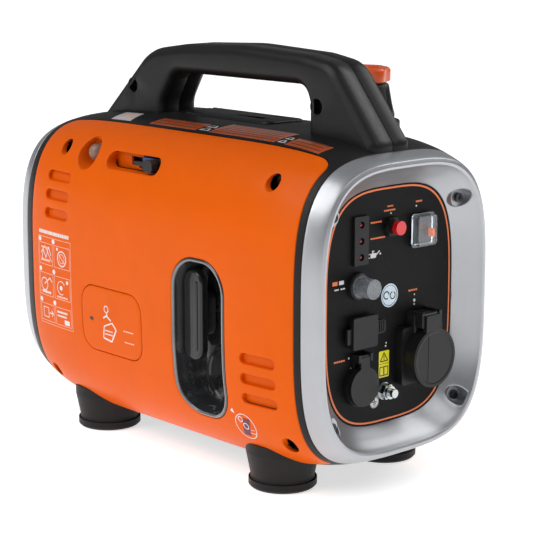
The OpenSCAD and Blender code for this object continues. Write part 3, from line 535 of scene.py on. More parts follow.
M = {
    "orange": finish_of("orange_plastic", (0.72, 0.105, 0.0005), 0.38, grain=0.5, bump=0.05, mottle=0.03, coat=0.04,
                        coat_rough=0.25, spec=0.1),
    "black": finish_of("black_textured_plastic", (0.008, 0.0077, 0.0076), 0.45, grain=0.45, bump=0.35, mottle=0.12,
                       wear=0.2, wear_color=(0.02, 0.02, 0.021), spec=0.28),
    "handle": finish_of("black_grip_plastic", (0.008, 0.0078, 0.0076), 0.38, grain=0.6, bump=0.3, mottle=0.12,
                        wear=0.2, wear_color=(0.02, 0.02, 0.021), spec=0.3),
    "silver": finish_of("silver_paint", (0.4, 0.41, 0.43), 0.33, metal=0.72, grain=0.4, bump=0.012, mottle=0.03,
                        flake=0.08, coat=0.3, coat_rough=0.16),
    "panel": finish_of("panel_film", (0.006, 0.006, 0.0065), 0.5, grain=0.35, bump=0.15, mottle=0.1, spec=0.15),
    "gloss": finish_of("gloss_black_plastic", (0.012, 0.012, 0.013), 0.16, grain=1.8, bump=0.05, mottle=0.15,
                       coat=0.3, coat_rough=0.08),
    "tub": finish_of("tub_plastic", (0.03, 0.031, 0.033), 0.13, grain=2.5, bump=0.06, mottle=0.2, coat=1.0,
                     coat_rough=0.05, spec=0.8),
    "rubber": finish_of("black_rubber", (0.008, 0.008, 0.0082), 0.55, grain=0.7, bump=0.3, mottle=0.15, sheen=0.03,
                        wear=0.2, wear_color=(0.025, 0.025, 0.026), spec=0.3),
    "cap": finish_of("cap_plastic", (0.016, 0.016, 0.017), 0.36, grain=0.6, bump=0.2, mottle=0.1, wear=0.2,
                     wear_color=(0.04, 0.04, 0.04), spec=0.35),
    "cap_orange": finish_of("cap_orange", (0.68, 0.085, 0.004), 0.3, grain=0.6, bump=0.1, mottle=0.05, coat=0.2,
                            spec=0.4),
    "fitting": finish_of("fitting_plastic", (0.012, 0.012, 0.0125), 0.38, grain=0.3, bump=0.2, mottle=0.1, wear=0.2,
                         wear_color=(0.035, 0.035, 0.035), spec=0.32),
    "red": finish_of("red_button", (0.72, 0.008, 0.012), 0.2, grain=1.2, bump=0.04, mottle=0.05, coat=0.5,
                     coat_rough=0.05),
    "clear": finish_of("clear_boot", (0.86, 0.9, 0.93), 0.08, grain=2.0, bump=0.05, mottle=0.05, clear=0.95,
                       ior=1.36, rough_var=0.3),
    "bulb": finish_of("primer_silicone", (0.5, 0.34, 0.26), 0.2, grain=1.5, bump=0.05, mottle=0.05, clear=0.55,
                      ior=1.4, scatter=0.2),
    "lens": finish_of("red_lens", (0.16, 0.004, 0.006), 0.1, grain=1.0, bump=0.05, mottle=0.1, coat=0.5),
    "rocker": finish_of("rocker_plastic", (0.06, 0.012, 0.008), 0.25, grain=0.8, bump=0.08, mottle=0.08, coat=0.3),
    "zinc": finish_of("zinc_plate", (0.5, 0.53, 0.54), 0.24, metal=1.0, grain=0.6, bump=0.12, mottle=0.1,
                      rough_var=0.3, wear=0.3, wear_color=(0.6, 0.55, 0.4)),
    "steel": finish_of("plain_steel", (0.42, 0.43, 0.44), 0.35, metal=1.0, grain=0.5, bump=0.2, mottle=0.12,
                       rough_var=0.3, wear=0.4, wear_color=(0.25, 0.23, 0.21)),
    "screw": finish_of("black_screw", (0.05, 0.052, 0.056), 0.32, metal=0.9, grain=0.4, bump=0.15, mottle=0.15,
                       wear=0.5, wear_color=(0.25, 0.25, 0.25)),
    "alloy": finish_of("cast_alloy", (0.44, 0.45, 0.45), 0.48, metal=0.9, grain=1.2, bump=0.45, mottle=0.1,
                       rough_var=0.25, wear=0.4, wear_color=(0.28, 0.26, 0.23)),
    "fins": finish_of("finned_alloy", (0.5, 0.51, 0.51), 0.42, metal=0.95, grain=0.9, bump=0.3, mottle=0.1,
                      rough_var=0.25),
    "copper": finish_of("copper_winding", (0.55, 0.22, 0.1), 0.34, metal=0.9, grain=0.5, bump=0.5, mottle=0.15,
                        stretch=(4, 1, 1)),
    "muffler": finish_of("muffler_steel", (0.3, 0.28, 0.26), 0.45, metal=0.85, grain=1.0, bump=0.25, mottle=0.15,
                         rough_var=0.3, wear=0.8, wear_color=(0.18, 0.1, 0.05)),
    "dark": finish_of("dark_nylon", (0.03, 0.031, 0.033), 0.45, grain=0.5, bump=0.3, mottle=0.12),
    "rope": finish_of("braided_rope", (0.62, 0.6, 0.55), 0.75, grain=0.7, bump=0.7, mottle=0.12),
    "white": finish_of("white_print", (0.72, 0.7, 0.69), 0.4, grain=0.6, bump=0.05, mottle=0.03, wear=0.12,
                       wear_color=(0.6, 0.5, 0.45)),
    "pale": finish_of("pale_print", (0.84, 0.5, 0.38), 0.42, grain=0.6, bump=0.05, mottle=0.05),
    "orange_ink": finish_of("orange_ink", (0.86, 0.2, 0.06), 0.4, grain=0.5, bump=0.05, mottle=0.04),
    "label": finish_of("orange_label", (0.42, 0.075, 0.02), 0.2, grain=2.0, bump=0.04, mottle=0.06, coat=0.3,
                       coat_rough=0.1),
    "ink": finish_of("dark_ink", (0.11, 0.04, 0.02), 0.3, grain=0.6, bump=0.05, mottle=0.1),
    "black_ink": finish_of("black_ink", (0.015, 0.014, 0.012), 0.35, grain=0.6, bump=0.05, mottle=0.1),
    "purple": finish_of("purple_ink", (0.13, 0.006, 0.04), 0.35, grain=0.6, bump=0.05, mottle=0.1),
    "yellow": finish_of("yellow_label", (0.86, 0.78, 0.015), 0.35, grain=0.6, bump=0.05, mottle=0.03, coat=0.3),
    "foil": finish_of("silver_foil", (0.36, 0.42, 0.48), 0.24, metal=0.85, grain=1.3, bump=0.35, mottle=0.2,
                      flake=0.5),
    "blue": finish_of("blue_plastic", (0.02, 0.09, 0.3), 0.35, grain=0.8, bump=0.1, mottle=0.1),
    "grey_label": finish_of("grey_label", (0.55, 0.53, 0.53), 0.3, grain=1.0, bump=0.05, mottle=0.05, coat=0.3),
    # painted highlight: this pale grey on the rope guide stands in for the bright streak under the grip
    "strip_highlight": finish_of("pale_painted_highlight", (0.5, 0.5, 0.5), 0.35, grain=0.8, bump=0.1, mottle=0.06),
    "filter": finish_of("filter_case", (0.03, 0.031, 0.032), 0.5, grain=0.6, bump=0.35, mottle=0.1),
    "heat_sink": finish_of("heat_sink", (0.4, 0.41, 0.43), 0.4, metal=0.95, grain=0.5, bump=0.25, mottle=0.08,
                           stretch=(1, 1, 0.2)),
    "grip_gloss": finish_of("grip_plastic", (0.012, 0.012, 0.0125), 0.2, grain=1.2, bump=0.05, mottle=0.1,
                            coat=0.35, coat_rough=0.05, spec=0.35),
    # painted highlight: this light grey on the recess lip stands in for the bright highlight along the rim
    "lip_painted_highlight": finish_of("lip_painted_highlight", (0.16, 0.165, 0.17), 0.12, grain=2.0, bump=0.05, mottle=0.25, coat=1.0,
                         coat_rough=0.05),
    "frost": finish_of("frosted_boot", (0.6, 0.64, 0.68), 0.22, grain=1.5, bump=0.1, mottle=0.1, clear=0.72,
                       ior=1.36, rough_var=0.4),
    # painted glow: this orange emits light, though the part under the economy boot is no lamp
    "orange_glow": finish_of("orange_painted_glow", (0.8, 0.13, 0.02), 0.3, grain=0.8, bump=0.05, mottle=0.1, glow=0.7,
                       coat=0.4),
    "floor": finish_of("floor", (0.9, 0.9, 0.9), 0.85, grain=8.0, bump=0.02, mottle=0.01, glow=0.72, spec=0.0),
}

# ---------------------------------------------------------------- side covers

COVER_X = (span("left_side_cover")[0].x, span("left_side_cover")[1].x)
S_TOP, S_LOW = s_of(TOP_A), s_of(LOW_A)
SCREWS = [(-147, 291), (158, 290), (179, 55), (-173, 56)]
VENTS = [((-142.5, 244), 18.8), ((157, 113), 18.8)]
RECOIL = middle("recoil_surround")
RECOIL_SIZE = (73.5, 150.5, 31)
OIL = Vector((-51, 0, 130.5))
OIL_SIZE = (94, 65, 18)
CHOKE = (-33, 287)
PRIMER = (-106, 289)
BOSS = (105, 58)


CORNER_STEPS = 8


def cover_rim(off):
    """The cover's outline in X and angle, moved in by off."""
    x0, x1 = COVER_X[0] + 0.1 + off, COVER_X[1] - 0.1 - off
    s0, s1 = S_LOW + off + 0.3, S_TOP - off - 0.3
    cx, cs = (x0 + x1) / 2, (s0 + s1) / 2
    w, h = x1 - x0, s1 - s0
    pts = []
    for k, (key, corner) in enumerate([((1, 1), 17), ((-1, 1), 20), ((-1, -1), 14), ((1, -1), 5)]):
        r = corner - off
        pts += arc(cx + key[0] * (w / 2 - r), cs + key[1] * (h / 2 - r), r, 90 * k, 90 * k + 90, CORNER_STEPS)
    out = []
    for i, (p, q) in enumerate(pairs(pts)):
        out.append(p)
        if (i + 1) % (CORNER_STEPS + 1) == 0:
            out += between(p, q, 70, 1)
    return [(x, a_of(s)) for x, s in out]


VENT_SIZE = (42, 10)


def vent_holes(grow, edge, levels):
    """Holes for the three slots at each end of a side."""
    out = []
    for (x, z), pitch in VENTS:
        for i in (-1, 0, 1):
            out.append((slab_hole(x, z + i * pitch, VENT_SIZE[0] + 2 * grow, VENT_SIZE[1] + 2 * grow, 4.9 + grow, 7,
                                  16),
                        edge, levels))
    return out


def screw_holes():
    return [(round_hole(*c, 7.4, 44), 1.0, [(0.0, "d", 6.5), (0.6, "d", 6.5), (1.0, "d", COVER_T)]) for c in SCREWS]


left_holes = screw_holes() + [
    (slab_hole(RECOIL.x, RECOIL.z, RECOIL_SIZE[0] + 0.5, RECOIL_SIZE[1] + 0.5, RECOIL_SIZE[2] + 0.2, 22, 30), 1.3),
    (slab_hole(OIL.x, OIL.z, OIL_SIZE[0] + 1.2, OIL_SIZE[1] + 1.2, OIL_SIZE[2] + 0.6, 14, 24), 0.9),
    (slab_hole(*CHOKE, 80, 16, 7.9, 10, 24), 1.3, [(0.0, "d", 12.4), (1.0, "d", 12.4), (1.3, "d", COVER_T)]),
    (round_hole(*PRIMER, 15, 64), 1.8, [(-0.6, "y", 96), (-1.6, "y", 90.5), (-3.4, "y", 89), (-5.4, "y", 89),
                                        (-5.4, "y", 88), (1.6, "y", 88), (1.8, "d", COVER_T)]),
]
VENT_WALL = [(0.0, "d", 5.2), (0.6, "d", 5.2), (0.9, "d", COVER_T)]
left_cover = Sheet(LEFT, (cover_rim, 1.2), left_holes + vent_holes(0, 0.8, VENT_WALL), grid=6.0)
solid("left_cover", left_cover.V, left_cover.F, M["orange"], node="left_side_cover")
right_cover = Sheet(RIGHT, (cover_rim, 1.2), screw_holes() + vent_holes(0, 0.8, VENT_WALL), grid=6.0)
right_piece = solid("right_cover", right_cover.V, right_cover.F, M["orange"], node="right_side_cover")

# ---------------------------------------------------------------- casing halves

SEAM_GAP = 0.2


def casing_rim(off):
    """The outline of a casing half in X and angle, moved in by off at its two ends."""
    s0, s1 = s_of(270), s_of(90)
    x0, x1 = -SEAM_X + off, SEAM_X - off
    edge = [(x1, s1), (x0, s1), (x0, s0), (x1, s0)]
    return [(x, a_of(s)) for p, q in pairs(edge) for x, s in between(p, q, 80)]


def seam_shift(V, side):
    """Keeps a casing half off the middle plane."""
    return [(x, side * SEAM_GAP if abs(y) < SEAM_GAP else y, z) for x, y, z in V]


def casing(side, name, node, holes):
    """A half of the casing: the black strips round the cover, and the seat behind it."""
    strips = Sheet(side, (casing_rim, 0.5), [(lambda off: cover_rim(-0.25 - off), 0.6, [(0.0, "d", 5.5)])],
                   thick=5.5, grid=7.0)
    seat = Sheet(side, (lambda off: cover_rim(off - 0.1), 0.1), holes, thick=2.6, d0=COVER_T + 0.15, grid=9.0)
    V, F = join([(strips.V, strips.F), (seat.V, seat.F)])
    return solid(name, seam_shift(V, side), F, M["black"], node=node)


SEAT_EDGE = 0.3
seat_holes = [(round_hole(*c, 8.3, 32), SEAT_EDGE) for c in SCREWS]
seat_holes += [v[:2] for v in vent_holes(1.4, SEAT_EDGE, None)]
left_shell = casing(LEFT, "left_shell", "left_casing", seat_holes + [
    (slab_hole(RECOIL.x, RECOIL.z, RECOIL_SIZE[0] + 3, RECOIL_SIZE[1] + 3, 32, 12, 12), SEAT_EDGE),
    (slab_hole(*CHOKE, 84, 20, 9.9, 8, 12), SEAT_EDGE),
    (round_hole(*PRIMER, 18.5, 48), SEAT_EDGE),
    (slab_hole(OIL.x, OIL.z, OIL_SIZE[0] - 8, OIL_SIZE[1] - 8, 13, 8, 12), SEAT_EDGE),
])
right_shell = casing(RIGHT, "right_shell", "right_casing", seat_holes)

# ---------------------------------------------------------------- handle

HANDLE_W = 50.0
HANDLE_TOP = cad_box[1].z / MM
HANDLE = rounded(
    [(-192, 300), (-190.5, 317), (-116, 386), (-60, 394), (20, HANDLE_TOP + 0.2), (110, 394), (148, 388),
     (204.4, 320),
     (204.4, 296), (118, 300), (118, 350), (112, 366), (-76, 365), (-95, 334), (-95, 300)],
    [0, 10, 62, 90, 220, 90, 34, 12, 0, 0, 9, 15, 18, 22, 0], n=12)
HANDLE_SCREWS = [(-139, 348), (131, 348)]


def densify(loop, step):
    """A closed loop with points added so that no side is much longer than step."""
    out = []
    for p, q in pairs(loop):
        out += between(p, q, max(1, int(math.dist(p, q) / step)))
    return out


def tidy_loop(loop, least=0.3):
    """A closed loop without points closer together than least."""
    out = [loop[0]]
    for p in loop[1:]:
        if math.dist(p, out[-1]) > least:
            out.append(p)
    if math.dist(out[0], out[-1]) < least:
        out.pop()
    return out


def handle_half(side, name, node):
    """One half of the handle, with its two screw holes."""
    loop = list(reversed(tidy_loop(densify(HANDLE, 6.0))))
    V, F, rings = [], [], []
    r_out, r_seam = 10.0, 0.7
    stack = [(r_seam * 0.8, SEAM_GAP), (0.0, SEAM_GAP + r_seam)]
    stack += [(r_out * (1 - math.cos(t)), HANDLE_W / 2 - r_out + r_out * math.sin(t))
              for t in [math.pi / 2 * k / 6 for k in range(7)]]
    for off, y in stack:
        k = len(V)
        V += [(u, side * y, v) for u, v in offset(loop, off)]
        rings.append(list(range(k, len(V))))
    for a, b in zip(rings, rings[1:]):
        F += band(a, b)
    face = [(V[i][0], V[i][2]) for i in rings[-1]]
    holes, ids = [], []
    for c in HANDLE_SCREWS:
        hr = []
        for off, y in [(1.0, 25.0), (0.62, 24.9), (0.29, 24.7), (0.08, 24.4), (0.0, 24.0), (0.0, 15.6), (-1.0, 15.2)]:
            k = len(V)
            V += [(u, side * y, v) for u, v in circle(c[0], c[1], 7.0 + off, 40)]
            hr.append(list(range(k, len(V))))
        for a, b in zip(hr, hr[1:]):
            F += band(a, b)
        F.append(tuple(hr[-1]))
        holes.append([(V[i][0], V[i][2]) for i in hr[0]])
        ids += hr[0]
    _, tris, _ = fill_plane(face, holes, [])
    order = rings[-1] + ids
    F += [tuple(order[i] for i in f) for f in tris]
    base = [(V[i][0], V[i][2]) for i in rings[0]]
    _, tris, _ = fill_plane(base, [], [])
    F += [tuple(rings[0][i] for i in f) for f in tris]
    return solid(name, V, F, M["handle"], node=node, sharp=40)


handle_half(LEFT, "left_handle", "left_casing")
handle_half(RIGHT, "right_handle", "right_casing")

# ---------------------------------------------------------------- bezels

_u = np.linspace(0, math.pi / 2, 4001)
_q = np.stack([100 * np.cos(_u) ** (2 / POWER), 125 * np.sin(_u) ** (2 / POWER)], 1)
_l = np.concatenate([[0], np.cumsum(np.linalg.norm(np.diff(_q, axis=0), axis=1))])


def ring_angles(n):
    """Angles round a cross-section at equal distances along it, n a multiple of 4."""
    quarter = [float(np.interp(_l[-1] * i / (n // 4), _l, _u)) for i in range(n // 4)]
    return [q + 0 for q in quarter] + [math.pi - q for q in [math.pi / 2] + quarter[:0:-1]] + \
        [math.pi + q for q in quarter] + [2 * math.pi - q for q in [math.pi / 2] + quarter[:0:-1]]


def section(x, w, up, down, angles):
    out = []
    for t in angles:
        s, c = math.sin(t), math.cos(t)
        out.append((x, w * bend(c), MID_Z + (up if s > 0 else down) * bend(s)))
    return out


RIM_POINTS = 240
RIM_SCREWS = [(y, z) for y in (-80.6, 80.6) for z in (74.4, 263)]


def bezel(end, name, node, material):
    """The rim at one end, +1 the front and -1 the rear."""
    ang = ring_angles(RIM_POINTS)
    rows = rounded(
        [(SEAM_X + 0.1, wide(SEAM_X) - 7, high(SEAM_X) - 7, deep(SEAM_X) - 7),
         (SEAM_X + 0.1, wide(SEAM_X), high(SEAM_X), deep(SEAM_X)),
         (209, wide(209), high(209), deep(209)), (213, wide(213), high(213), deep(213)),
         (217, wide(217), high(217), deep(217)), (220.5, wide(220.5), high(220.5), deep(220.5)),
         (223.6, wide(223.6) - 0.4, high(223.6) - 0.4, deep(223.6) - 0.4),
         (HALF_L, RIM_W - 3.2, RIM_H - 3.2, RIM_H - 3.2), (224.4, RIM_W - 5.4, RIM_H - 5.4, RIM_H - 5.4),
         (222.2, RIM_W - 6.6, RIM_H - 6.6, RIM_H - 6.6)],
        [0, 0.8, 0, 0, 0, 0, 2.2, 1.1, 0.8, 0], n=5, closed=False)
    V, F, rings = [], [], []
    for r in rows:
        k = len(V)
        V += section(*r, ang)
        rings.append(list(range(k, len(V))))
    for a, b in zip(rings, rings[1:]):
        F += band(a, b)
    slope = [(222.2, RIM_W - 6.6, RIM_H - 6.6, RIM_H - 6.6), (219.2, RIM_W - 8.8, RIM_H - 8.6, RIM_H - 8.6),
             (215.6, RIM_W - 11.9, RIM_H - 11.6, RIM_H - 11.6), (211.8, RIM_W - 15.2, RIM_H - 14.8, RIM_H - 14.8),
             (208.2, RIM_W - 18.6, RIM_H - 18.0, RIM_H - 18.0), (205.4, RIM_W - 21.8, RIM_H - 21.0, RIM_H - 21.0),
             (PANEL_X + 1.3, PANEL_W + 1.0, PANEL_H + 0.9, PANEL_H + 0.9),
             (PANEL_X + 0.6, PANEL_W + 0.3, PANEL_H + 0.2, PANEL_H + 0.2)]

    def slope_x(y, z):
        lo, hi = 0.0, len(slope) - 1.0
        for _ in range(26):
            mid = (lo + hi) / 2
            i = min(int(mid), len(slope) - 2)
            f = mid - i
            w = slope[i][1] * (1 - f) + slope[i + 1][1] * f
            h = slope[i][2] * (1 - f) + slope[i + 1][2] * f
            if (abs(y) / w) ** POWER + (abs(z - MID_Z) / h) ** POWER < 1:
                lo = mid
            else:
                hi = mid
        i = min(int(lo), len(slope) - 2)
        return slope[i][0] + (slope[i + 1][0] - slope[i][0]) * (lo - i)

    outer = [(V[i][1], V[i][2]) for i in rings[-1]]
    inner_ring = section(*slope[-1], ang)
    k = len(V)
    V += inner_ring
    edge = list(range(k, len(V)))
    inner = [(p[1], p[2]) for p in inner_ring]
    holes, ids = [], []
    for c in RIM_SCREWS:
        rr = []
        for off, kind, val in [(1.3, "d", 0), (0.8, "d", 0.12), (0.38, "d", 0.45), (0.1, "d", 0.95), (0, "d", 1.5),
                               (0, "x", 209.5)]:
            k = len(V)
            for y, z in circle(c[0], c[1], 8.3 + off, 44):
                V.append((slope_x(y, z) - val if kind == "d" else val, y, z))
            rr.append(list(range(k, len(V))))
        for a, b in zip(rr, rr[1:]):
            F += band(a, b)
        F.append(tuple(rr[-1]))
        holes.append([(V[i][1], V[i][2]) for i in rr[0]])
        ids += rr[0]
    cand = []
    for a, b in zip(slope[1:-1], slope[2:]):
        cand += [p[1:] for p in section(*a, ang)]
    cand = np.array(cand)
    ok = far(cand, outer, 0.6) & far(cand, inner, 0.5)
    for h in holes:
        ok &= ~inside(cand, h) & far(cand, h, 1.3)
    pts, tris, count = fill_plane(outer, [inner] + holes, cand[ok])
    order = rings[-1] + edge + ids
    for y, z in pts[count:]:
        order.append(len(V))
        V.append((slope_x(y, z), y, z))
    F += [tuple(order[i] for i in f) for f in tris]
    back_rows = [(PANEL_X - 3, PANEL_W + 0.3, PANEL_H + 0.2, PANEL_H + 0.2),
                 (PANEL_X - 3, wide(SEAM_X) - 7, high(SEAM_X) - 7, deep(SEAM_X) - 7)]
    prev = edge
    for r in back_rows:
        k = len(V)
        V += section(*r, ang)
        cur = list(range(k, len(V)))
        F += band(prev, cur)
        prev = cur
    F += band(prev, rings[0])
    V = [(end * x, y, z) for x, y, z in V]
    return solid(name, V, F, material, node=node, sharp=45)


bezel(1, "front_rim", "front_bezel", M["silver"])
bezel(-1, "rear_rim", "rear_bezel", M["silver"])

# ---------------------------------------------------------------- oil cover and starter recess


def patch_loop(loop_of, levels, side=LEFT):
    """Rings that follow the side of the housing. levels gives (off, kind, value)."""
    rings = []
    for off, kind, val in levels:
        ring = []
        for x, z in loop_of(off):
            y = side_y(x, z, side)
            ring.append((x, y - side * val if kind == "d" else side * abs(val), z))
        rings.append(ring)
    return rings


def patch(loop_of, levels, name, mat, body="housing", node=None, side=LEFT, step=5.0):
    """A plate that follows the housing: its rim goes through levels and its face is filled at the last one."""
    rings = patch_loop(loop_of, levels, side)
    V, F = loft(rings, caps=False)
    n = len(rings[0])
    for which, ring in ((0, rings[0]), (len(rings) - 1, rings[-1])):
        loop = [(p[0], p[2]) for p in ring]
        xs, zs = [p[0] for p in loop], [p[1] for p in loop]
        nx = max(2, int((max(xs) - min(xs)) / step))
        nz = max(2, int((max(zs) - min(zs)) / step))
        cand = np.array([(min(xs) + (max(xs) - min(xs)) * i / nx, min(zs) + (max(zs) - min(zs)) * j / nz)
                         for i in range(1, nx) for j in range(1, nz)])
        cand = cand[inside(cand, loop) & far(cand, loop, step * 0.4)]
        pts, tris, count = fill_plane(loop, [], cand)
        ids = [which * n + j for j in range(n)]
        kind, val = levels[which][1], levels[which][2]
        for x, z in pts[count:]:
            ids.append(len(V))
            V.append((x, side_y(x, z, side) - side * val if kind == "d" else side * abs(val), z))
        F += [tuple(ids[i] for i in f) for f in tris]
    return solid(name, V, F, mat, body=body, node=node)


def oil_loop(off):
    return slab(OIL.x, OIL.z, OIL_SIZE[0] - 2 * off, OIL_SIZE[1] - 2 * off, OIL_SIZE[2] - off, 14, 24)


patch(oil_loop, [(0.2, "d", 2.9), (0, "d", 2.7), (0, "d", 1.1), (0.12, "d", 0.55), (0.45, "d", 0.15),
                 (1.0, "d", -0.08),
                 (1.9, "d", -0.2)], "oil_door", M["orange"], body="oil_door", node="oil_cover")


def surround_loop(off):
    return slab(RECOIL.x, RECOIL.z, RECOIL_SIZE[0] - 2 * off, RECOIL_SIZE[1] - 2 * off, RECOIL_SIZE[2] - off, 22, 30)


TUB_Y = 88.0


def recoil_tub():
    levels = [(0.0, "y", TUB_Y - 3), (0.0, "d", 1.6), (0.08, "d", 0.7), (0.35, "d", 0.05), (0.85, "d", -0.35),
              (1.5, "d", -0.45),
              (2.2, "d", -0.3), (2.7, "d", 0.15), (3.0, "d", 1.0), (3.3, "d", 2.6), (4.6, "d", 9), (6.2, "y", 98),
              (7.6, "y", 91),
              (9.2, "y", 88.7), (11.5, "y", TUB_Y)]
    patch(surround_loop, levels, "recoil_tub", M["tub"], node="recoil_surround", step=9.0)


recoil_tub()

# ---------------------------------------------------------------- starter grip and rope

GRIP = middle("starter_grip")
GRIP_SIZE = (26, 86, 12.5)
GRIP_Y = (115.0, 93.0)


def starter_grip():
    """The grip's rounded bar, the rib on its face and the stem behind it that holds the rope."""
    loop = slab(GRIP.x, GRIP.z, GRIP_SIZE[0], GRIP_SIZE[1], GRIP_SIZE[2], 10, 10)
    hold = prism(loop, at_y, -106.5, -GRIP_Y[0], edge=3.0, steps=5, edge0=1.5)
    rib = prism(slab(GRIP.x + 6.2, GRIP.z, 3.0, 66, 1.4, 6, 10), at_y, -GRIP_Y[0] + 2, -GRIP_Y[0] - 1.0, edge=0.8)
    stem = prism(slab(GRIP.x, GRIP.z, 17, 42, 7.5, 8, 6), at_y, -GRIP_Y[1], -106.8, edge0=1.2)
    solid("grip_bar", *join([hold, rib, stem]), M["grip_gloss"], body="grip", node="starter_grip", sharp=40)


starter_grip()


def tube(path, radius, n=14):
    """A round tube along a path. radius(i) is its radius at the path's point i."""
    P = [Vector(p) for p in path]
    rings = []
    side = None
    for i, p in enumerate(P):
        d = (P[min(i + 1, len(P) - 1)] - P[max(i - 1, 0)]).normalized()
        if side is None:
            side = d.cross(Vector((0.3, 0.2, 1))).normalized()
        side = (side - d * side.dot(d)).normalized()
        up = d.cross(side)
        r = radius(i)
        turns = [2 * math.pi * j / n for j in range(n)]
        rings.append([tuple(p + side * r * math.cos(t) + up * r * math.sin(t)) for t in turns])
    return loft(rings)


ROPE_STEPS = 60
rope_path = [(GRIP.x, -GRIP_Y[1] * t / ROPE_STEPS, GRIP.z) for t in range(ROPE_STEPS + 1)]
rope = solid("pull_rope", *tube(rope_path, lambda i: 2.0 - 0.12 * (i % 2), 12), M["rope"], node="starter_rope",
             sharp=80)
rope.parent = None
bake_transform(rope)


def recess_details():
    """The starter's round housing, screws and guide seen on the floor of the recess; the guide's pale grey is a
    painted highlight.
    """
    dish = [(0, 0.4), (9, 0.5), (10, 1.8), (17, 2.2), (18.5, 1.2), (25, 1.0), (26.5, 2.6), (28.5, 2.8), (29.5, 1.6),
            (30, 0)]
    parts = [lathe([(max(r, 0.01), h) for r, h in dish], (82.0, -TUB_Y, 98.0), "y", 72)]
    for x, z, r in [(97, 182, 5.5), (88, 160, 3.6), (97, 150, 3.0), (93, 133, 4.2)]:
        head = [(r + 1.5, 0), (r + 1.4, 1.0), (r, 2.2), (r * 0.6, 3.0), (0.01, 3.2)]
        parts.append(lathe(head, (x, -TUB_Y, z), "y", 28))
    solid("recess_boss", *join(parts), M["gloss"], sharp=40)
    # the guide's pale grey is a painted highlight under the grip
    solid("rope_guide", *prism(slab(45.5, 98, 4.5, 24, 1.2, 4), at_y, -TUB_Y + 1, -TUB_Y - 8, edge=0.6), M["strip_highlight"])


recess_details()

# ---------------------------------------------------------------- choke and primer

def choke_parts():
    """The orange floor of the choke's slot, its backing, and the linkage seen through it."""
    y = abs(side_y(*CHOKE))
    floor = [prism(slab(u, CHOKE[1] + v, w, h, 0.9, 5, 4), at_y, -94.0, -96.4, edge=0.5)
             for u, v, w, h in ((-62, 0, 24, 17), (-41, -6.3, 20, 4.2), (-41, 6.3, 20, 4.2))]
    solid("choke_ledge", *join(floor), M["orange"])
    back = prism(slab(CHOKE[0] + 6, CHOKE[1] - 5, 118, 44, 4, 5, 4), at_y, -84.8, -86.4)
    solid("choke_backing", *back, M["dark"])
    link = join([prism(slab(-18, 290.5, 22, 4.6, 1.2, 4), at_y, -(y - 18.6), -(y - 9), edge=0.6),
                 prism(slab(-12, 284.0, 20, 5.4, 1.2, 4), at_y, -(y - 18.6), -(y - 12), edge=0.6)])
    solid("choke_link", *link, M["blue"])
    low = join([prism(slab(-2, 288, 9, 11, 1.5, 4), at_y, -(y - 18.6), -(y - 7.5), edge=0.8),
                prism(slab(-32, 284, 8, 5, 1.0, 4), at_y, -(y - 18.6), -(y - 10), edge=0.6)])
    solid("choke_bracket", *low, M["gloss"])


choke_parts()

# ---------------------------------------------------------------- fuel cap and filler

CAP = middle("fuel_cap")
NECK_TOP = span("filler_neck")[1].z


def fuel_cap():
    """The fluted cap, its orange vent knob and the black boss it stands on."""
    flutes = 8

    def r_of(r, h, t):
        if h < 333 or h > 361.5 or r < 22:
            return r
        k = max(0.0, math.cos(flutes * (t - math.pi / 8))) ** 1.6
        fade = min(1, (h - 333) / 4) * min(1, (361.5 - h) / 3)
        return r - 4.2 * k * fade
    prof = [(0.01, NECK_TOP + 3.3), (20.4, NECK_TOP + 3.3), (20.4, 331.4), (20.8, 331), (32.2, 331), (32.9, 331.4),
            (33, 332.4),
            (32.6, 335)]
    prof += [(32.6 - 5.2 * ((h - 335) / 25) ** 0.8, h) for h in range(337, 360, 2)]
    prof += [(27.2, 360.5), (26.6, 361.8), (25.2, 362.6), (24.4, 363.0), (24.2, 364.0), (0.01, 364.0)]
    solid("cap_body", *lathe(prof, (CAP.x, CAP.y, 0), "z", 192, r_of), M["cap"], body="cap", node="fuel_cap",
          sharp=30)

    def knob_r(r, h, t):
        if r < 20:
            return r
        return r + 1.2 * math.cos(8 * t) * (1 if h < 376 else 0.6)
    prof = [(0.01, 364.3), (26, 364.3), (27.0, 364.9), (27.3, 366), (27.3, 375), (26.9, 376.4), (26.0, 377.4),
            (24.6, 378.0),
            (23, 378.2), (19, 377.6), (17.6, 376.8), (8, 376.6), (6.5, 377.6), (0.01, 377.9)]
    knob = lathe(prof, (CAP.x, CAP.y, 0), "z", 160, knob_r)
    vanes = []
    for i in range(8):
        a = math.pi / 4 * i + math.pi / 8
        c, s = math.cos(a), math.sin(a)
        loop = [(CAP.x + u * c - v * s, CAP.y + u * s + v * c) for u, v in slab(13.5, 0, 11, 1.6, 0.7, 3)]
        vanes.append(prism(loop, at_z, 376, 378.2, edge=0.5))
    solid("vent_knob_top", *join([knob] + vanes), M["cap_orange"], body="vent_knob", node="fuel_cap_vent", sharp=32)
    prof = [(20.3, 324.6), (37.0, 324.6), (37.4, 296), (38, 296), (38, 326.2), (37.7, 327.2), (37.1, 327.8),
            (36.2, 328),
            (21.2, 328), (20.6, 327.7), (20.3, 327)]
    rings = [[(x, y, h) for x, y in circle(*BOSS, r, 128)] for r, h in prof]
    solid("filler_boss", *loft(rings, closed=True), M["black"], node="right_casing", sharp=40)


fuel_cap()


def cutter(loop, z0, z1):
    """A vertical prism to cut with. It is no piece of the object."""
    V, F = prism(loop, at_z, z0, z1)
    me = bpy.data.meshes.new("tool")
    me.from_pydata([(p[0] * MM, p[1] * MM, p[2] * MM) for p in V], [], F)
    bm = bmesh.new()
    bm.from_mesh(me)
    bmesh.ops.recalc_face_normals(bm, faces=bm.faces)
    bm.to_mesh(me)
    bm.free()
    ob = bpy.data.objects.new("tool", me)
    bpy.context.scene.collection.objects.link(ob)
    return ob


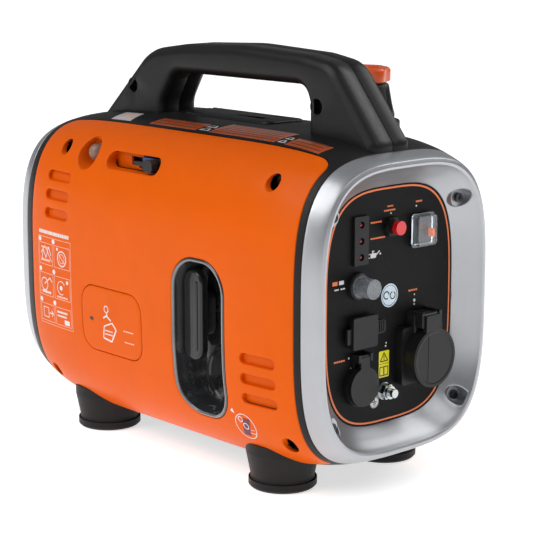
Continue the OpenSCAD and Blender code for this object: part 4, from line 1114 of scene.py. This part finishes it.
def carve(ob, loop, z0, z1, sharp=35):
    """Cuts a vertical prism out of a piece for good."""
    tool = cutter(loop, z0, z1)
    mod = ob.modifiers.new("cut", "BOOLEAN")
    mod.operation, mod.solver, mod.object = "DIFFERENCE", "EXACT", tool
    dg = bpy.context.evaluated_depsgraph_get()
    me = bpy.data.meshes.new_from_object(ob.evaluated_get(dg))
    ob.modifiers.clear()
    ob.data = me
    me.shade_smooth()
    me.set_sharp_from_angle(angle=math.radians(sharp))
    bpy.data.objects.remove(tool)


# ---------------------------------------------------------------- spark plug hatch

HATCH = middle("spark_plug_hatch")
HATCH_LO, HATCH_HI = span("spark_plug_hatch")
HATCH_SIZE = (HATCH_HI.x - HATCH_LO.x + 1, HATCH_HI.y - HATCH_LO.y + 1)
hatch_loop = slab(HATCH.x, HATCH.y, HATCH_SIZE[0], HATCH_SIZE[1], 10, 8, 8)
for shell in (left_shell, right_shell):
    carve(shell, hatch_loop, 300, 345)
carve(right_shell, circle(*BOSS, 36, 64), 285, 345)
carve(right_piece, circle(*BOSS, 38.3, 96), 280, 345)


def hatch():
    """Lid over the spark plug: its outer edge bulges and its top is domed."""
    loop = tidy_loop(densify(slab(HATCH.x, HATCH.y, HATCH_SIZE[0] - 1, HATCH_SIZE[1] - 1, 9.5, 8, 10), 3.0))
    base = HATCH_LO.z
    V, F, rings = [], [], []
    for off, z in [(0.4, base), (0, base + 0.4), (0, None), (0.15, None), (0.5, None), (1.1, None), (3, None),
                   (7, None), (13, None), (19, None)]:
        k = len(V)
        for u, v in offset(loop, off):
            if z is not None:
                V.append((u, v, z))
                continue
            lift = {0: -0.4, 0.15: 0.6, 0.5: 1.3, 1.1: 1.9}.get(off, 1.9 + 1.3 * (1 - math.exp(-(off - 1.1) / 4)))
            V.append((u, v, top_z(u, v) + lift))
        rings.append(list(range(k, len(V))))
    for a, b in zip(rings, rings[1:]):
        F += band(a, b)
    F += [tuple(rings[0]), tuple(rings[-1])]
    solid("plug_lid", V, F, M["black"], body="hatch", node="spark_plug_hatch", sharp=30)
    holes = []
    for x in (-72, -64):
        for y in (HATCH.y + 6, HATCH.y + 14):
            holes.append(lathe([(0.01, 0.12), (2.1, 0.12), (2.5, 0.02), (2.5, -1.0)], (x, y, top_z(x, y) + 3.15), "z",
                               20))
    solid("plug_lid_vents", *join(holes), M["black_ink"], body="hatch")


hatch()

# ---------------------------------------------------------------- printed marks

LABEL_LIFT, INK_LIFT = 0.12, 0.2  # of the labels on the top and of what is printed on them


def plate_faces(tris, m, counts):
    """Faces of a thin plate whose low side is points 0 to m - 1 and whose high side is the next m.

    counts says how many of the points are in each of its loops, which come first.
    """
    F = [tuple(m + i for i in f) for f in tris] + [tuple(reversed(f)) for f in tris]
    k = 0
    for n in counts:
        F += band(range(k, k + n), range(m + k, m + k + n))
        k += n
    return F


def print_on_side(name, shapes, mat, side=LEFT, lift=0.1, body="housing", base=0.0, step=4.0):
    """Thin printed shapes that follow the side. Each shape is a closed loop in X and Z."""
    parts = []
    for loop in shapes:
        loop = densify(loop, step)
        us, vs = [p[0] for p in loop], [p[1] for p in loop]
        nu, nv = int((max(us) - min(us)) / step) + 1, int((max(vs) - min(vs)) / step) + 1
        mesh = [(min(us) + step * (i + 0.5), min(vs) + step * (j + 0.5)) for i in range(nu) for j in range(nv)]
        mesh = [q for q, a, b in zip(mesh, far(mesh, loop, 1.0), inside(np.array(mesh), loop)) if a and b]
        pts, tris, _ = fill_plane(loop, [], mesh)
        V = []
        for d in (base + 0.02, base - lift):
            V += [(x, side_y(x, z, side) - side * d, z) for x, z in pts]
        parts.append((V, plate_faces(tris, len(pts), [len(loop)])))
    return solid(name, *join(parts), mat, body=body, sharp=50)


def print_on_panel(name, shapes, mat, lift=0.14, x=None):
    """Thin printed shapes on the control panel. Each shape is a loop in Y and Z, or (loop, holes)."""
    base = PANEL_X if x is None else x
    parts = []
    for shape in shapes:
        loop, holes = shape if isinstance(shape, tuple) else (shape, [])
        pts, tris, _ = fill_plane(loop, holes, [])
        V = [(base - 0.05, u, v) for u, v in pts] + [(base + lift, u, v) for u, v in pts]
        parts.append((V, plate_faces(tris, len(pts), [len(loop)] + [len(h) for h in holes])))
    return solid(name, *join(parts), mat, sharp=50)


def bar(u0, v0, u1, v1, w):
    """A stroke from one point to another."""
    d = math.hypot(u1 - u0, v1 - v0)
    a, b = -(v1 - v0) / d * w / 2, (u1 - u0) / d * w / 2
    return [(u0 - a, v0 - b), (u1 - a, v1 - b), (u1 + a, v1 + b), (u0 + a, v0 + b)]


def strokes(points, w, closed=False):
    """Strokes of width w from point to point."""
    ends = points[1:] + ([points[0]] if closed else [])
    return [bar(*a, *b, w) for a, b in zip(points, ends)]


def frame_of(u0, v0, u1, v1, w):
    """The outline of a rectangle, drawn in four strokes."""
    return strokes([(u0, v0), (u1, v0), (u1, v1), (u0, v1)], w, True)


def hoop(u, v, r, w, n=28, a0=0, a1=360):
    """A ring, or a part of one, drawn in short strokes."""
    return strokes(arc(u, v, r, a0, a1, n), w)


def dashes(u0, v, total, h, seed, least=1.2, most=4.2, gap=0.9):
    """A row of short blocks that stands for a line of print."""
    rnd = random.Random(seed)
    out, u = [], u0
    while u < u0 + total - least:
        w = min(rnd.uniform(least, most), u0 + total - u)
        out.append([(u, v - h / 2), (u + w, v - h / 2), (u + w, v + h / 2), (u, v + h / 2)])
        u += w + gap
    return out


def guide_marks():
    """A column of generic starting pictures near the rear of the starter side."""
    x0, x1 = -176.0, -116.0
    white, pale = [], []
    white += dashes(x0 + 1, 204.5, 56, 3.6, 3, 1.6, 3.4, 0.7)
    for dot_z, low, top in ((196.5, 171, 193), (165.5, 139, 162), (133.5, 112, 130)):
        white += [circle(x0 + 2.5, dot_z, 2.6, 18), circle(x0 + 29, dot_z, 2.6, 18)]
        pale += frame_of(x0 + 1, low, x0 + 27, top, 0.5) + frame_of(x0 + 30, low, x1 - 2, top, 0.5)
    for points, w in (([(5, 174), (9, 186), (14, 178), (20, 190), (24, 181)], 1.0),
                      ([(4, 182), (12, 190), (18, 184), (25, 175)], 0.8),
                      ([(10, 150.5), (21, 158), (25, 154)], 1.1),
                      ([(6, 116), (6, 126), (16, 126), (16, 116), (6, 116)], 0.8),
                      ([(18, 121), (25, 121)], 1.2), ([(22, 124), (25, 121), (22, 118)], 1.0)):
        white += strokes([(x0 + u, v) for u, v in points], w)
    white += hoop(x0 + 44, 181, 7.6, 1.2) + hoop(x0 + 44, 181, 4.6, 0.6) + hoop(x0 + 10, 150.5, 6.4, 0.9)
    white += hoop(x0 + 42, 151, 6.8, 0.8, a0=30, a1=300)
    white += [circle(x0 + 36, 190, 1.6, 14), circle(x0 + 42, 151, 2.4, 16), circle(x0 + 53, 158, 2.0, 14),
              slab(x0 + 50, 116, 9, 5, 1, 3)]
    white += dashes(x0 + 5, 142.5, 18, 2.4, 9, 1.4, 2.8, 0.5)
    white += dashes(x0 + 33, 125.5, 20, 2.0, 12, 1.6, 3.2, 0.5) + dashes(x0 + 33, 121.5, 18, 1.8, 13, 1.6, 3.2, 0.5)
    pale += dashes(x0 + 6, 175.5, 16, 2.4, 5, 1.2, 2.4, 0.5) + dashes(x0 + 5, 188.5, 14, 1.8, 6, 1.2, 2.4, 0.5)
    pale += strokes([(x0 + 38, 186), (x0 + 50, 176)], 1.0) + dashes(x0 + 34, 141.5, 20, 1.8, 10, 1.2, 2.6, 0.5)
    pale += frame_of(x0 - 1, 109.2, x1, 199.5, 0.45)
    print_on_side("guide_white", white, M["white"])
    print_on_side("guide_pale", pale, M["pale"])


guide_marks()


def oil_marks():
    """A generic can and drop on the oil door, two short rules and its round fastener."""
    u, v = -54, 127
    white = strokes([(u - 9, v + 6), (u - 4, v + 9), (u + 3, v + 5)], 1.5)
    white += strokes([(u - 10, v - 14), (u + 3, v - 16), (u + 11, v - 3), (u + 5, v + 3)], 1.6)
    white += strokes([(u - 10, v - 14), (u - 8, v - 2), (u + 5, v + 3)], 1.3)
    white += dashes(u - 7, v - 6, 12, 1.3, 21, 1.0, 2.2, 0.6) + dashes(u - 7, v - 9.5, 12, 1.3, 22, 1.0, 2.2, 0.6)
    white += hoop(u - 4, v + 15.5, 3.2, 1.0) + strokes([(u - 4, v + 12.6), (u - 2.2, v + 8.4)], 1.3)
    pale = dashes(-31, 125.6, 15, 1.2, 23, 1.5, 3.0, 0.6) + dashes(-30, 114.6, 16, 1.2, 24, 1.5, 3.0, 0.6)
    print_on_side("oil_print", white, M["white"], body="oil_door", base=-0.2)
    print_on_side("oil_rules", pale, M["pale"], body="oil_door", base=-0.2)
    y = abs(side_y(-82, 129.5)) + 0.2
    head = [(0.01, 0.06), (3.4, 0.06), (4.2, 0.1), (5.0, 0.12), (5.6, -0.1), (5.8, -1.2), (0.01, -1.2)]
    solid("oil_fastener", *lathe(head, (-82, -y, 129.5), "y", 40), M["orange"], body="oil_door")
    # painted shade: the dark bar stands in for the shade in the fastener's slot, and a dark disc sits at its centre
    slot = prism(slab(-82, 129.5, 7, 1.3, 0.3, 2), at_y, -y - 0.02, -y - 0.16)
    hub = lathe([(0.01, 0.14), (2.0, 0.14), (2.4, 0.02), (2.4, -0.5)], (-82, -y, 129.5), "y", 24)
    solid("oil_fastener_slot", *join([slot, hub]), M["black_ink"], body="oil_door")


oil_marks()


def side_sticker():
    """A round generic sign low on the starter side."""
    u, v = 132.5, 64.5
    white = hoop(u, v, 12.4, 0.7, 48) + hoop(u + 0.6, v + 0.5, 3.0, 0.9, 24)
    white += [[(u - 15.5, v + 13), (u - 10.5, v + 11), (u - 12.5, v + 16)]]
    white += hoop(u - 4.5, v + 6.6, 2.6, 0.8, 20)
    dark = [[(u - 6.5, v - 9.5), (u + 2.5, v - 9.5), (u + 8, v + 8.5), (u - 1, v + 8.5)]]
    pale = dashes(u + 3.5, v - 6, 7, 1.2, 31, 1.0, 2.0, 0.5) + dashes(u + 5, v - 2.5, 6, 1.0, 32, 1.0, 2.0, 0.5)
    print_on_side("sticker_block", dark, M["purple"], lift=0.06)
    print_on_side("sticker_ring", white, M["white"], lift=0.12)
    print_on_side("sticker_rules", pale, M["pale"], lift=0.12)


side_sticker()


def top_patch(corners, lift, nx=18, ny=8):
    """A thin label on the top, between four corners in X and Y."""
    a, b, c, e = corners

    def pt(u, v, d):
        x, y = ((a[k] * (1 - u) + b[k] * u) * (1 - v) + (e[k] * (1 - u) + c[k] * u) * v for k in (0, 1))
        return (x, y, top_z(x, y) + d)
    V, F = [], []
    for d in (-0.1, lift):
        V += [pt(i / nx, j / ny, d) for i in range(nx + 1) for j in range(ny + 1)]
    m = (nx + 1) * (ny + 1)

    def idx(i, j, k):
        return k * m + i * (ny + 1) + j
    for i in range(nx):
        for j in range(ny):
            F.append((idx(i, j, 1), idx(i + 1, j, 1), idx(i + 1, j + 1, 1), idx(i, j + 1, 1)))
            F.append((idx(i, j, 0), idx(i, j + 1, 0), idx(i + 1, j + 1, 0), idx(i + 1, j, 0)))
    for i in range(nx):
        F.append((idx(i, 0, 0), idx(i + 1, 0, 0), idx(i + 1, 0, 1), idx(i, 0, 1)))
        F.append((idx(i + 1, ny, 0), idx(i, ny, 0), idx(i, ny, 1), idx(i + 1, ny, 1)))
    for j in range(ny):
        F.append((idx(0, j + 1, 0), idx(0, j, 0), idx(0, j, 1), idx(0, j + 1, 1)))
        F.append((idx(nx, j, 0), idx(nx, j + 1, 0), idx(nx, j + 1, 1), idx(nx, j, 1)))
    return V, F


def top_labels():
    """Generic labels along the near edge of the top: orange plates with rules, two pairs of signs and a foil."""
    labels = [(-62, 8, -65, -44.5), (27, 118, -65, -33), (132, 176, -65, -46)]
    plates, rules, white, black = [], [], [], []
    rnd = random.Random(4)
    for x0, x1, y0, y1 in labels:
        plates.append(top_patch([(x0, y0), (x1, y0), (x1, y1), (x0, y1)], LABEL_LIFT))
        n = int((y1 - y0) / 5.2)
        for i in range(n):
            y = y0 + (y1 - y0) * (i + 0.6) / n
            end = x1 - 3 - rnd.uniform(0, 8)
            rules.append(top_patch([(x0 + 3, y), (end, y), (x1 - 3, y + 1.9), (x0 + 3, y + 1.9)], INK_LIFT, 12, 1))
    for x0, x1 in ((10.5, 24.5), (120, 130)):
        for y in (-63, -53.5):
            white.append(top_patch([(x0, y), (x1, y), (x1 - 3, y + 6), (x0 + 3, y + 6)], LABEL_LIFT, 4, 4))
            black.append(top_patch([(x0 + 3, y + 1.2), (x1 - 3, y + 1.2), (x1 - 4.2, y + 4.8), (x0 + 4.2, y + 4.8)],
                                   INK_LIFT, 4, 4))
    for name, parts, mat in (("top_labels", plates, "label"), ("top_label_rules", rules, "ink"),
                             ("top_symbols", white, "grey_label"), ("top_symbol_marks", black, "black_ink")):
        solid(name, *join(parts), M[mat])
    foil = [(-123, -65), (-92, -65), (-104, -38), (-133, -38)]
    solid("rating_label", *top_patch(foil, LABEL_LIFT), M["grey_label"])
    lines = []
    for i in range(4):
        x0, x1, y = -119 - i * 2, -98 - i * 2, -60 + i * 5
        lines.append(top_patch([(x0, y), (x1, y), (x1, y + 1.2), (x0, y + 1.2)], INK_LIFT, 8, 1))
    solid("rating_label_rules", *join(lines), M["pale"])


top_labels()


def panel_marks():
    """The panel's orange outline, and generic signs in the places of the printed ones."""
    ang = ring_angles(RIM_POINTS)
    out = [(p[1], p[2]) for p in section(0, 80.9, 108.1, 108.1, ang)]
    inn = [(p[1], p[2]) for p in section(0, 79.3, 106.5, 106.5, ang)]
    print_on_panel("outline", [(out, [inn])], M["orange_ink"])
    ink = dashes(-25.5, 250.5, 15, 1.5, 41, 1.4, 2.4, 0.5) + dashes(-25.5, 236, 19, 1.5, 42, 1.4, 2.4, 0.5)
    ink += dashes(-8.5, 259.5, 15, 1.5, 43, 1.4, 2.6, 0.5) + dashes(-4.5, 263.2, 8, 1.3, 44, 1.4, 2.6, 0.5)
    ink += dashes(33, 263.5, 8, 1.6, 45, 1.4, 2.4, 0.5)
    ink += [slab(-69.5, 201.5, 6.2, 3.6, 0.3, 2)]
    ink += dashes(-70, 130, 15, 1.6, 46, 1.6, 2.6, 0.6) + dashes(25, 181.5, 12, 1.6, 47, 1.4, 2.6, 0.5)
    print_on_panel("panel_ink", ink, M["orange_ink"])
    u, v = -26.0, 221.0
    white = [[(u + 1.0, v - 2.6), (u + 7.6, v - 2.6), (u + 8.2, v + 1.6), (u + 0.4, v + 1.6)],
             bar(u + 7.6, v - 0.4, u + 12.2, v + 3.2, 1.1),
             bar(u + 3.6, v + 1.6, u + 3.6, v + 3.6, 1.2), bar(u + 2.4, v + 3.6, u + 5.4, v + 3.6, 0.9),
             circle(u + 13.2, v + 0.4, 0.9, 14)]
    white += hoop(u - 0.6, v - 0.4, 1.7, 0.7, 16, 70, 290)
    white += [slab(-61.5, 201.5, 5.8, 3.6, 0.3, 2)]
    white += dashes(-70, 195.8, 6, 1.4, 48, 1.2, 1.6, 0.4) + dashes(-62.5, 195.8, 6, 1.2, 49, 2.0, 4.0, 0.5)
    white += [circle(0.4, 256.6, 0.8, 12), circle(33.5, 259.4, 0.9, 12), circle(33.0, 171.5, 1.5, 18),
              circle(33.0, 167.8, 1.0, 14), circle(33.0, 177, 0.8, 12)]
    white += [circle(-51.5, 131, 1.0, 14), bar(-49, 121, -47.4, 123.6, 0.7), bar(-52.6, 115.4, -51.4, 117.6, 0.7),
              circle(-4.2, 134.5, 0.9, 12), circle(-3.6, 137.3, 0.8, 12)]
    print_on_panel("panel_white", white, M["white"])
    print_on_panel("earth_disc", [circle(-18, 84, 5.6, 40)], M["white"])
    sign = strokes([(-18, 88), (-18, 84.2)], 0.9) + strokes([(-21, 84), (-15, 84)], 0.9)
    sign += strokes([(-20, 82.3), (-16, 82.3)], 0.8) + strokes([(-19, 80.7), (-17, 80.7)], 0.7)
    print_on_panel("earth_sign", sign + hoop(-18, 84, 5.0, 0.35, 32), M["black_ink"], x=PANEL_X + 0.14, lift=0.08)
    print_on_panel("round_foil", [circle(0, 181, 10.9, 56)], M["foil"], lift=0.18)
    marks = hoop(-4.2, 181.6, 3.4, 1.2, 20, 0, 300) + hoop(4.0, 180.6, 3.2, 1.1, 20, 100, 420)
    marks += hoop(0, 181, 9.4, 0.5, 44)
    print_on_panel("foil_marks", marks, M["black_ink"], x=PANEL_X + 0.18, lift=0.08)
    print_on_panel("warning_plate", [slab(-6.2, 117.8, 13.2, 24.8, 1.3, 5)], M["yellow"], lift=0.16)
    tri = strokes([(-11, 120.6), (-1.4, 120.6), (-6.2, 128.6)], 1.0, True)
    tri += [bar(-6.2, 123.4, -6.2, 126.2, 1.0), circle(-6.2, 122.2, 0.6, 10)]
    book = frame_of(-11.4, 107.2, -6.4, 115.2, 0.9) + frame_of(-6.0, 107.2, -1.0, 115.2, 0.9)
    book += [bar(-12.2, 118.2, -0.2, 118.2, 0.4)]
    print_on_panel("warning_marks", tri + book, M["black_ink"], x=PANEL_X + 0.16, lift=0.08)


panel_marks()

# ---------------------------------------------------------------- fitted details

def vent_floors(side, name):
    """Orange floors in the air slots."""
    loops = []
    for (cx, cz), pitch in VENTS:
        loops += [slab(cx, cz + i * pitch, VENT_SIZE[0] + 1.6, VENT_SIZE[1] + 1.6, 5.7, 7, 10) for i in (-1, 0, 1)]
    print_on_side(name, loops, M["orange"], side=side, base=5.15, lift=0.75)


vent_floors(LEFT, "left_vent_floors")
vent_floors(RIGHT, "right_vent_floors")


def ring_along(path, out, r, n=10):
    """A closed round bead along a closed path. out is the outward direction."""
    P = [Vector(p) for p in path]
    rings = []
    for i, p in enumerate(P):
        t = (P[(i + 1) % len(P)] - P[i - 1]).normalized()
        o = Vector(out)
        b = t.cross(o).normalized()
        turns = [2 * math.pi * k / n for k in range(n)]
        rings.append([tuple(p + o * (r * math.cos(a)) + b * (r * math.sin(a))) for a in turns])
    return loft(rings, closed=True)


def recess_lip():
    """The bead round the starter recess, coloured light grey as a painted highlight along its rim."""
    loop = slab(RECOIL.x, RECOIL.z, RECOIL_SIZE[0] - 4.0, RECOIL_SIZE[1] - 4.0, RECOIL_SIZE[2] - 2.0, 18, 26)
    path = [(x, side_y(x, z) + 1.1, z) for x, z in loop]
    # the lip's light grey is a painted highlight along the recess rim
    solid("recess_lip", *ring_along(path, (0, -1, 0), 1.5), M["lip_painted_highlight"])


recess_lip()


LID_MIDDLE, LID_R, LID_FACE = (38.5, 119.8), 27.6, 21.9  # the mains lid; its face is measured from the panel


def panel_fittings():
    """The breaker boot's collar, the mains lid's hinge block, rim and rib, and what is under the economy boot."""
    boot = middle("breaker_boot")
    collar = [(9.3, 4.2), (11.2, 4.8), (12.2, 4.2), (12.6, 3.2), (12.6, 0.2), (9.3, 0.2)]
    solid("boot_collar", *lathe(collar, (PANEL_X, boot.y, boot.z), "x", 56), M["fitting"])
    top = span("ac_lid")[1].z
    y, z = LID_MIDDLE
    r, face = LID_R, LID_FACE
    rim = [(r - 0.2, face - 1.6), (r - 0.6, face - 0.4), (r - 1.6, face + 0.5), (r - 3.2, face + 0.6),
           (r - 4.2, face + 0.15), (r - 4.6, face - 0.4)]
    hinge = prism(slab(middle("ac_socket").y, top - 10.5, 27.4, 19, 2.2, 5), at_x, PANEL_X + 0.3, PANEL_X + 11.4, 1.2)
    solid("ac_hinge_block", *hinge, M["fitting"])
    solid("ac_lid_rim", *lathe(rim, (PANEL_X, y, z), "x", 96), M["fitting"], body="mains_lid")
    eco = middle("eco_cover")
    for name, outline, low, tall, edge, mat, body in (
            ("ac_lid_rib", slab(y - 8.5, z + 1, 0.9, 45, 0.4, 3), 21.6, 22.35, 0.2, "fitting", "mains_lid"),
            # the small orange marker under the economy boot glows with painted light; it is no lamp
            ("eco_pilot", slab(eco.y + 8.6, eco.z - 3.0, 3.0, 7.5, 1.0, 4), 2.6, 8.5, 0.5, "orange_glow", "housing"),
            ("eco_bed", slab(eco.y, eco.z, 21.5, 24.5, 2.4, 5), 2.5, 2.9, 0.1, "gloss", "housing")):
        solid(name, *prism(outline, at_x, PANEL_X + low, PANEL_X + tall, edge), M[mat], body=body)


panel_fittings()

# ---------------------------------------------------------------- finishes of the CAD pieces that stay

CAD_FINISH = {
    "control_panel": "panel", "rear_grille": "dark", "rubber_feet": "rubber", "spark_plug_hatch": "black",
    "starter_grip": "dark",
    "starter_rope": "rope", "fuel_cap": "cap", "fuel_cap_vent": "cap_orange", "fuel_cap_seal": "rubber",
    "filler_neck": "dark",
    "choke_lever": "fitting", "primer_bulb": "bulb", "led_block": "fitting", "led_lenses": "lens",
    "reset_button": "red",
    "reset_base": "fitting", "eco_rocker": "rocker", "eco_frame": "gloss", "eco_cover": "clear",
    "dc_breaker": "fitting",
    "breaker_boot": "frost", "usb_socket": "fitting", "usb_cover": "fitting", "dc_socket": "fitting",
    "dc_lid": "fitting",
    "ac_socket": "fitting", "ac_lid": "fitting", "ground_bolt": "zinc", "ground_nut": "zinc",
    "housing_screws": "screw",
    "chassis": "steel", "rubber_mounts": "rubber", "crankcase": "alloy", "cylinder_barrel": "fins",
    "rocker_cover": "dark",
    "spark_plug": "white", "plug_cap": "rubber", "crankshaft": "steel", "flywheel": "steel", "cooling_fan": "dark",
    "stator": "copper", "fan_shroud": "dark", "recoil_housing": "steel", "recoil_pulley": "dark",
    "recoil_spring": "steel",
    "ignition_coil": "dark", "carburettor": "alloy", "air_filter": "filter", "muffler": "muffler",
    "fuel_tank": "dark",
    "fuel_hose": "rubber", "inverter_module": "heat_sink",
}
for node_name, key in CAD_FINISH.items():
    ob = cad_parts[node_name]
    ob.data.materials.clear()
    ob.data.materials.append(M[key])

# moulded and machined edges are never quite sharp
for node_name in ("usb_cover", "usb_socket", "dc_lid", "dc_socket", "ac_lid", "ac_socket", "led_block",
                  "reset_button", "reset_base",
                  "eco_frame", "eco_cover", "breaker_boot", "ground_bolt", "ground_nut", "choke_lever", "rear_grille",
                  "fuel_cap_vent"):
    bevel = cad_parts[node_name].modifiers.new("edges", "BEVEL")
    bevel.width, bevel.segments = 0.4 * MM, 2
    bevel.limit_method, bevel.angle_limit = "ANGLE", math.radians(40)

# ---------------------------------------------------------------- studio

scene = bpy.context.scene
scene.view_settings.view_transform = "Standard"
world = bpy.data.worlds.new("studio")
world.use_nodes = True
bg = world.node_tree.nodes["Background"]
bg.inputs[0].default_value = (0.96, 0.98, 1, 1)
bg.inputs[1].default_value = 0.2
scene.world = world


def lamp(name, size, power, place, aim=(0, 0, 0.18), color=(1, 1, 1)):
    li = bpy.data.lights.new(name, "AREA")
    li.shape, li.size, li.size_y = "RECTANGLE", size[0], size[1]
    li.energy, li.color = power, color
    ob = bpy.data.objects.new(name, li)
    scene.collection.objects.link(ob)
    ob.location = place
    ob.rotation_mode = "QUATERNION"
    ob.rotation_quaternion = (Vector(aim) - Vector(place)).to_track_quat("-Z", "Y")
    return ob


# the sun's wide angle keeps its shadows soft
sun_data = bpy.data.lights.new("sun", "SUN")
sun_data.energy, sun_data.angle = 1.55, math.radians(50)
sun = bpy.data.objects.new("sun", sun_data)
scene.collection.objects.link(sun)
sun.rotation_mode = "QUATERNION"
sun.rotation_quaternion = Vector((0.25, 0.75, -1.0)).to_track_quat("-Z", "Y")
lamp("front_top", (1.2, 1.2), 7, (1.5, 0.3, 1.7))
lamp("right_top", (1.2, 1.2), 14, (0.5, 1.6, 1.5))
lamp("left_strip", (0.5, 1.6), 7, (-0.6, -2.0, 1.1))
FLOOR_Z = -0.0005
floor_mesh = bpy.data.meshes.new("floor")
floor_mesh.from_pydata([(-40, -20, FLOOR_Z), (20, -20, FLOOR_Z), (20, 60, FLOOR_Z), (-40, 60, FLOOR_Z)], [],
                       [(0, 1, 2, 3)])
floor = bpy.data.objects.new("floor", floor_mesh)
floor_mesh.materials.append(M["floor"])
scene.collection.objects.link(floor)
cam = bpy.data.cameras.new("camera")
cam.lens, cam.sensor_width = 115.8, 36
camera = bpy.data.objects.new("camera", cam)
scene.collection.objects.link(camera)

# the place, direction and lens that were fitted to the photograph
az, el = math.radians(47.76), math.radians(11.71)
back = Vector((math.sin(az) * math.cos(el), -math.cos(az) * math.cos(el), math.sin(el)))
camera.location = (1.2498, -1.1017, 0.5219)
camera.rotation_mode = "QUATERNION"
camera.rotation_quaternion = (-back).to_track_quat("-Z", "Y")
cam.clip_start, cam.clip_end = 0.05, 50
scene.camera = camera
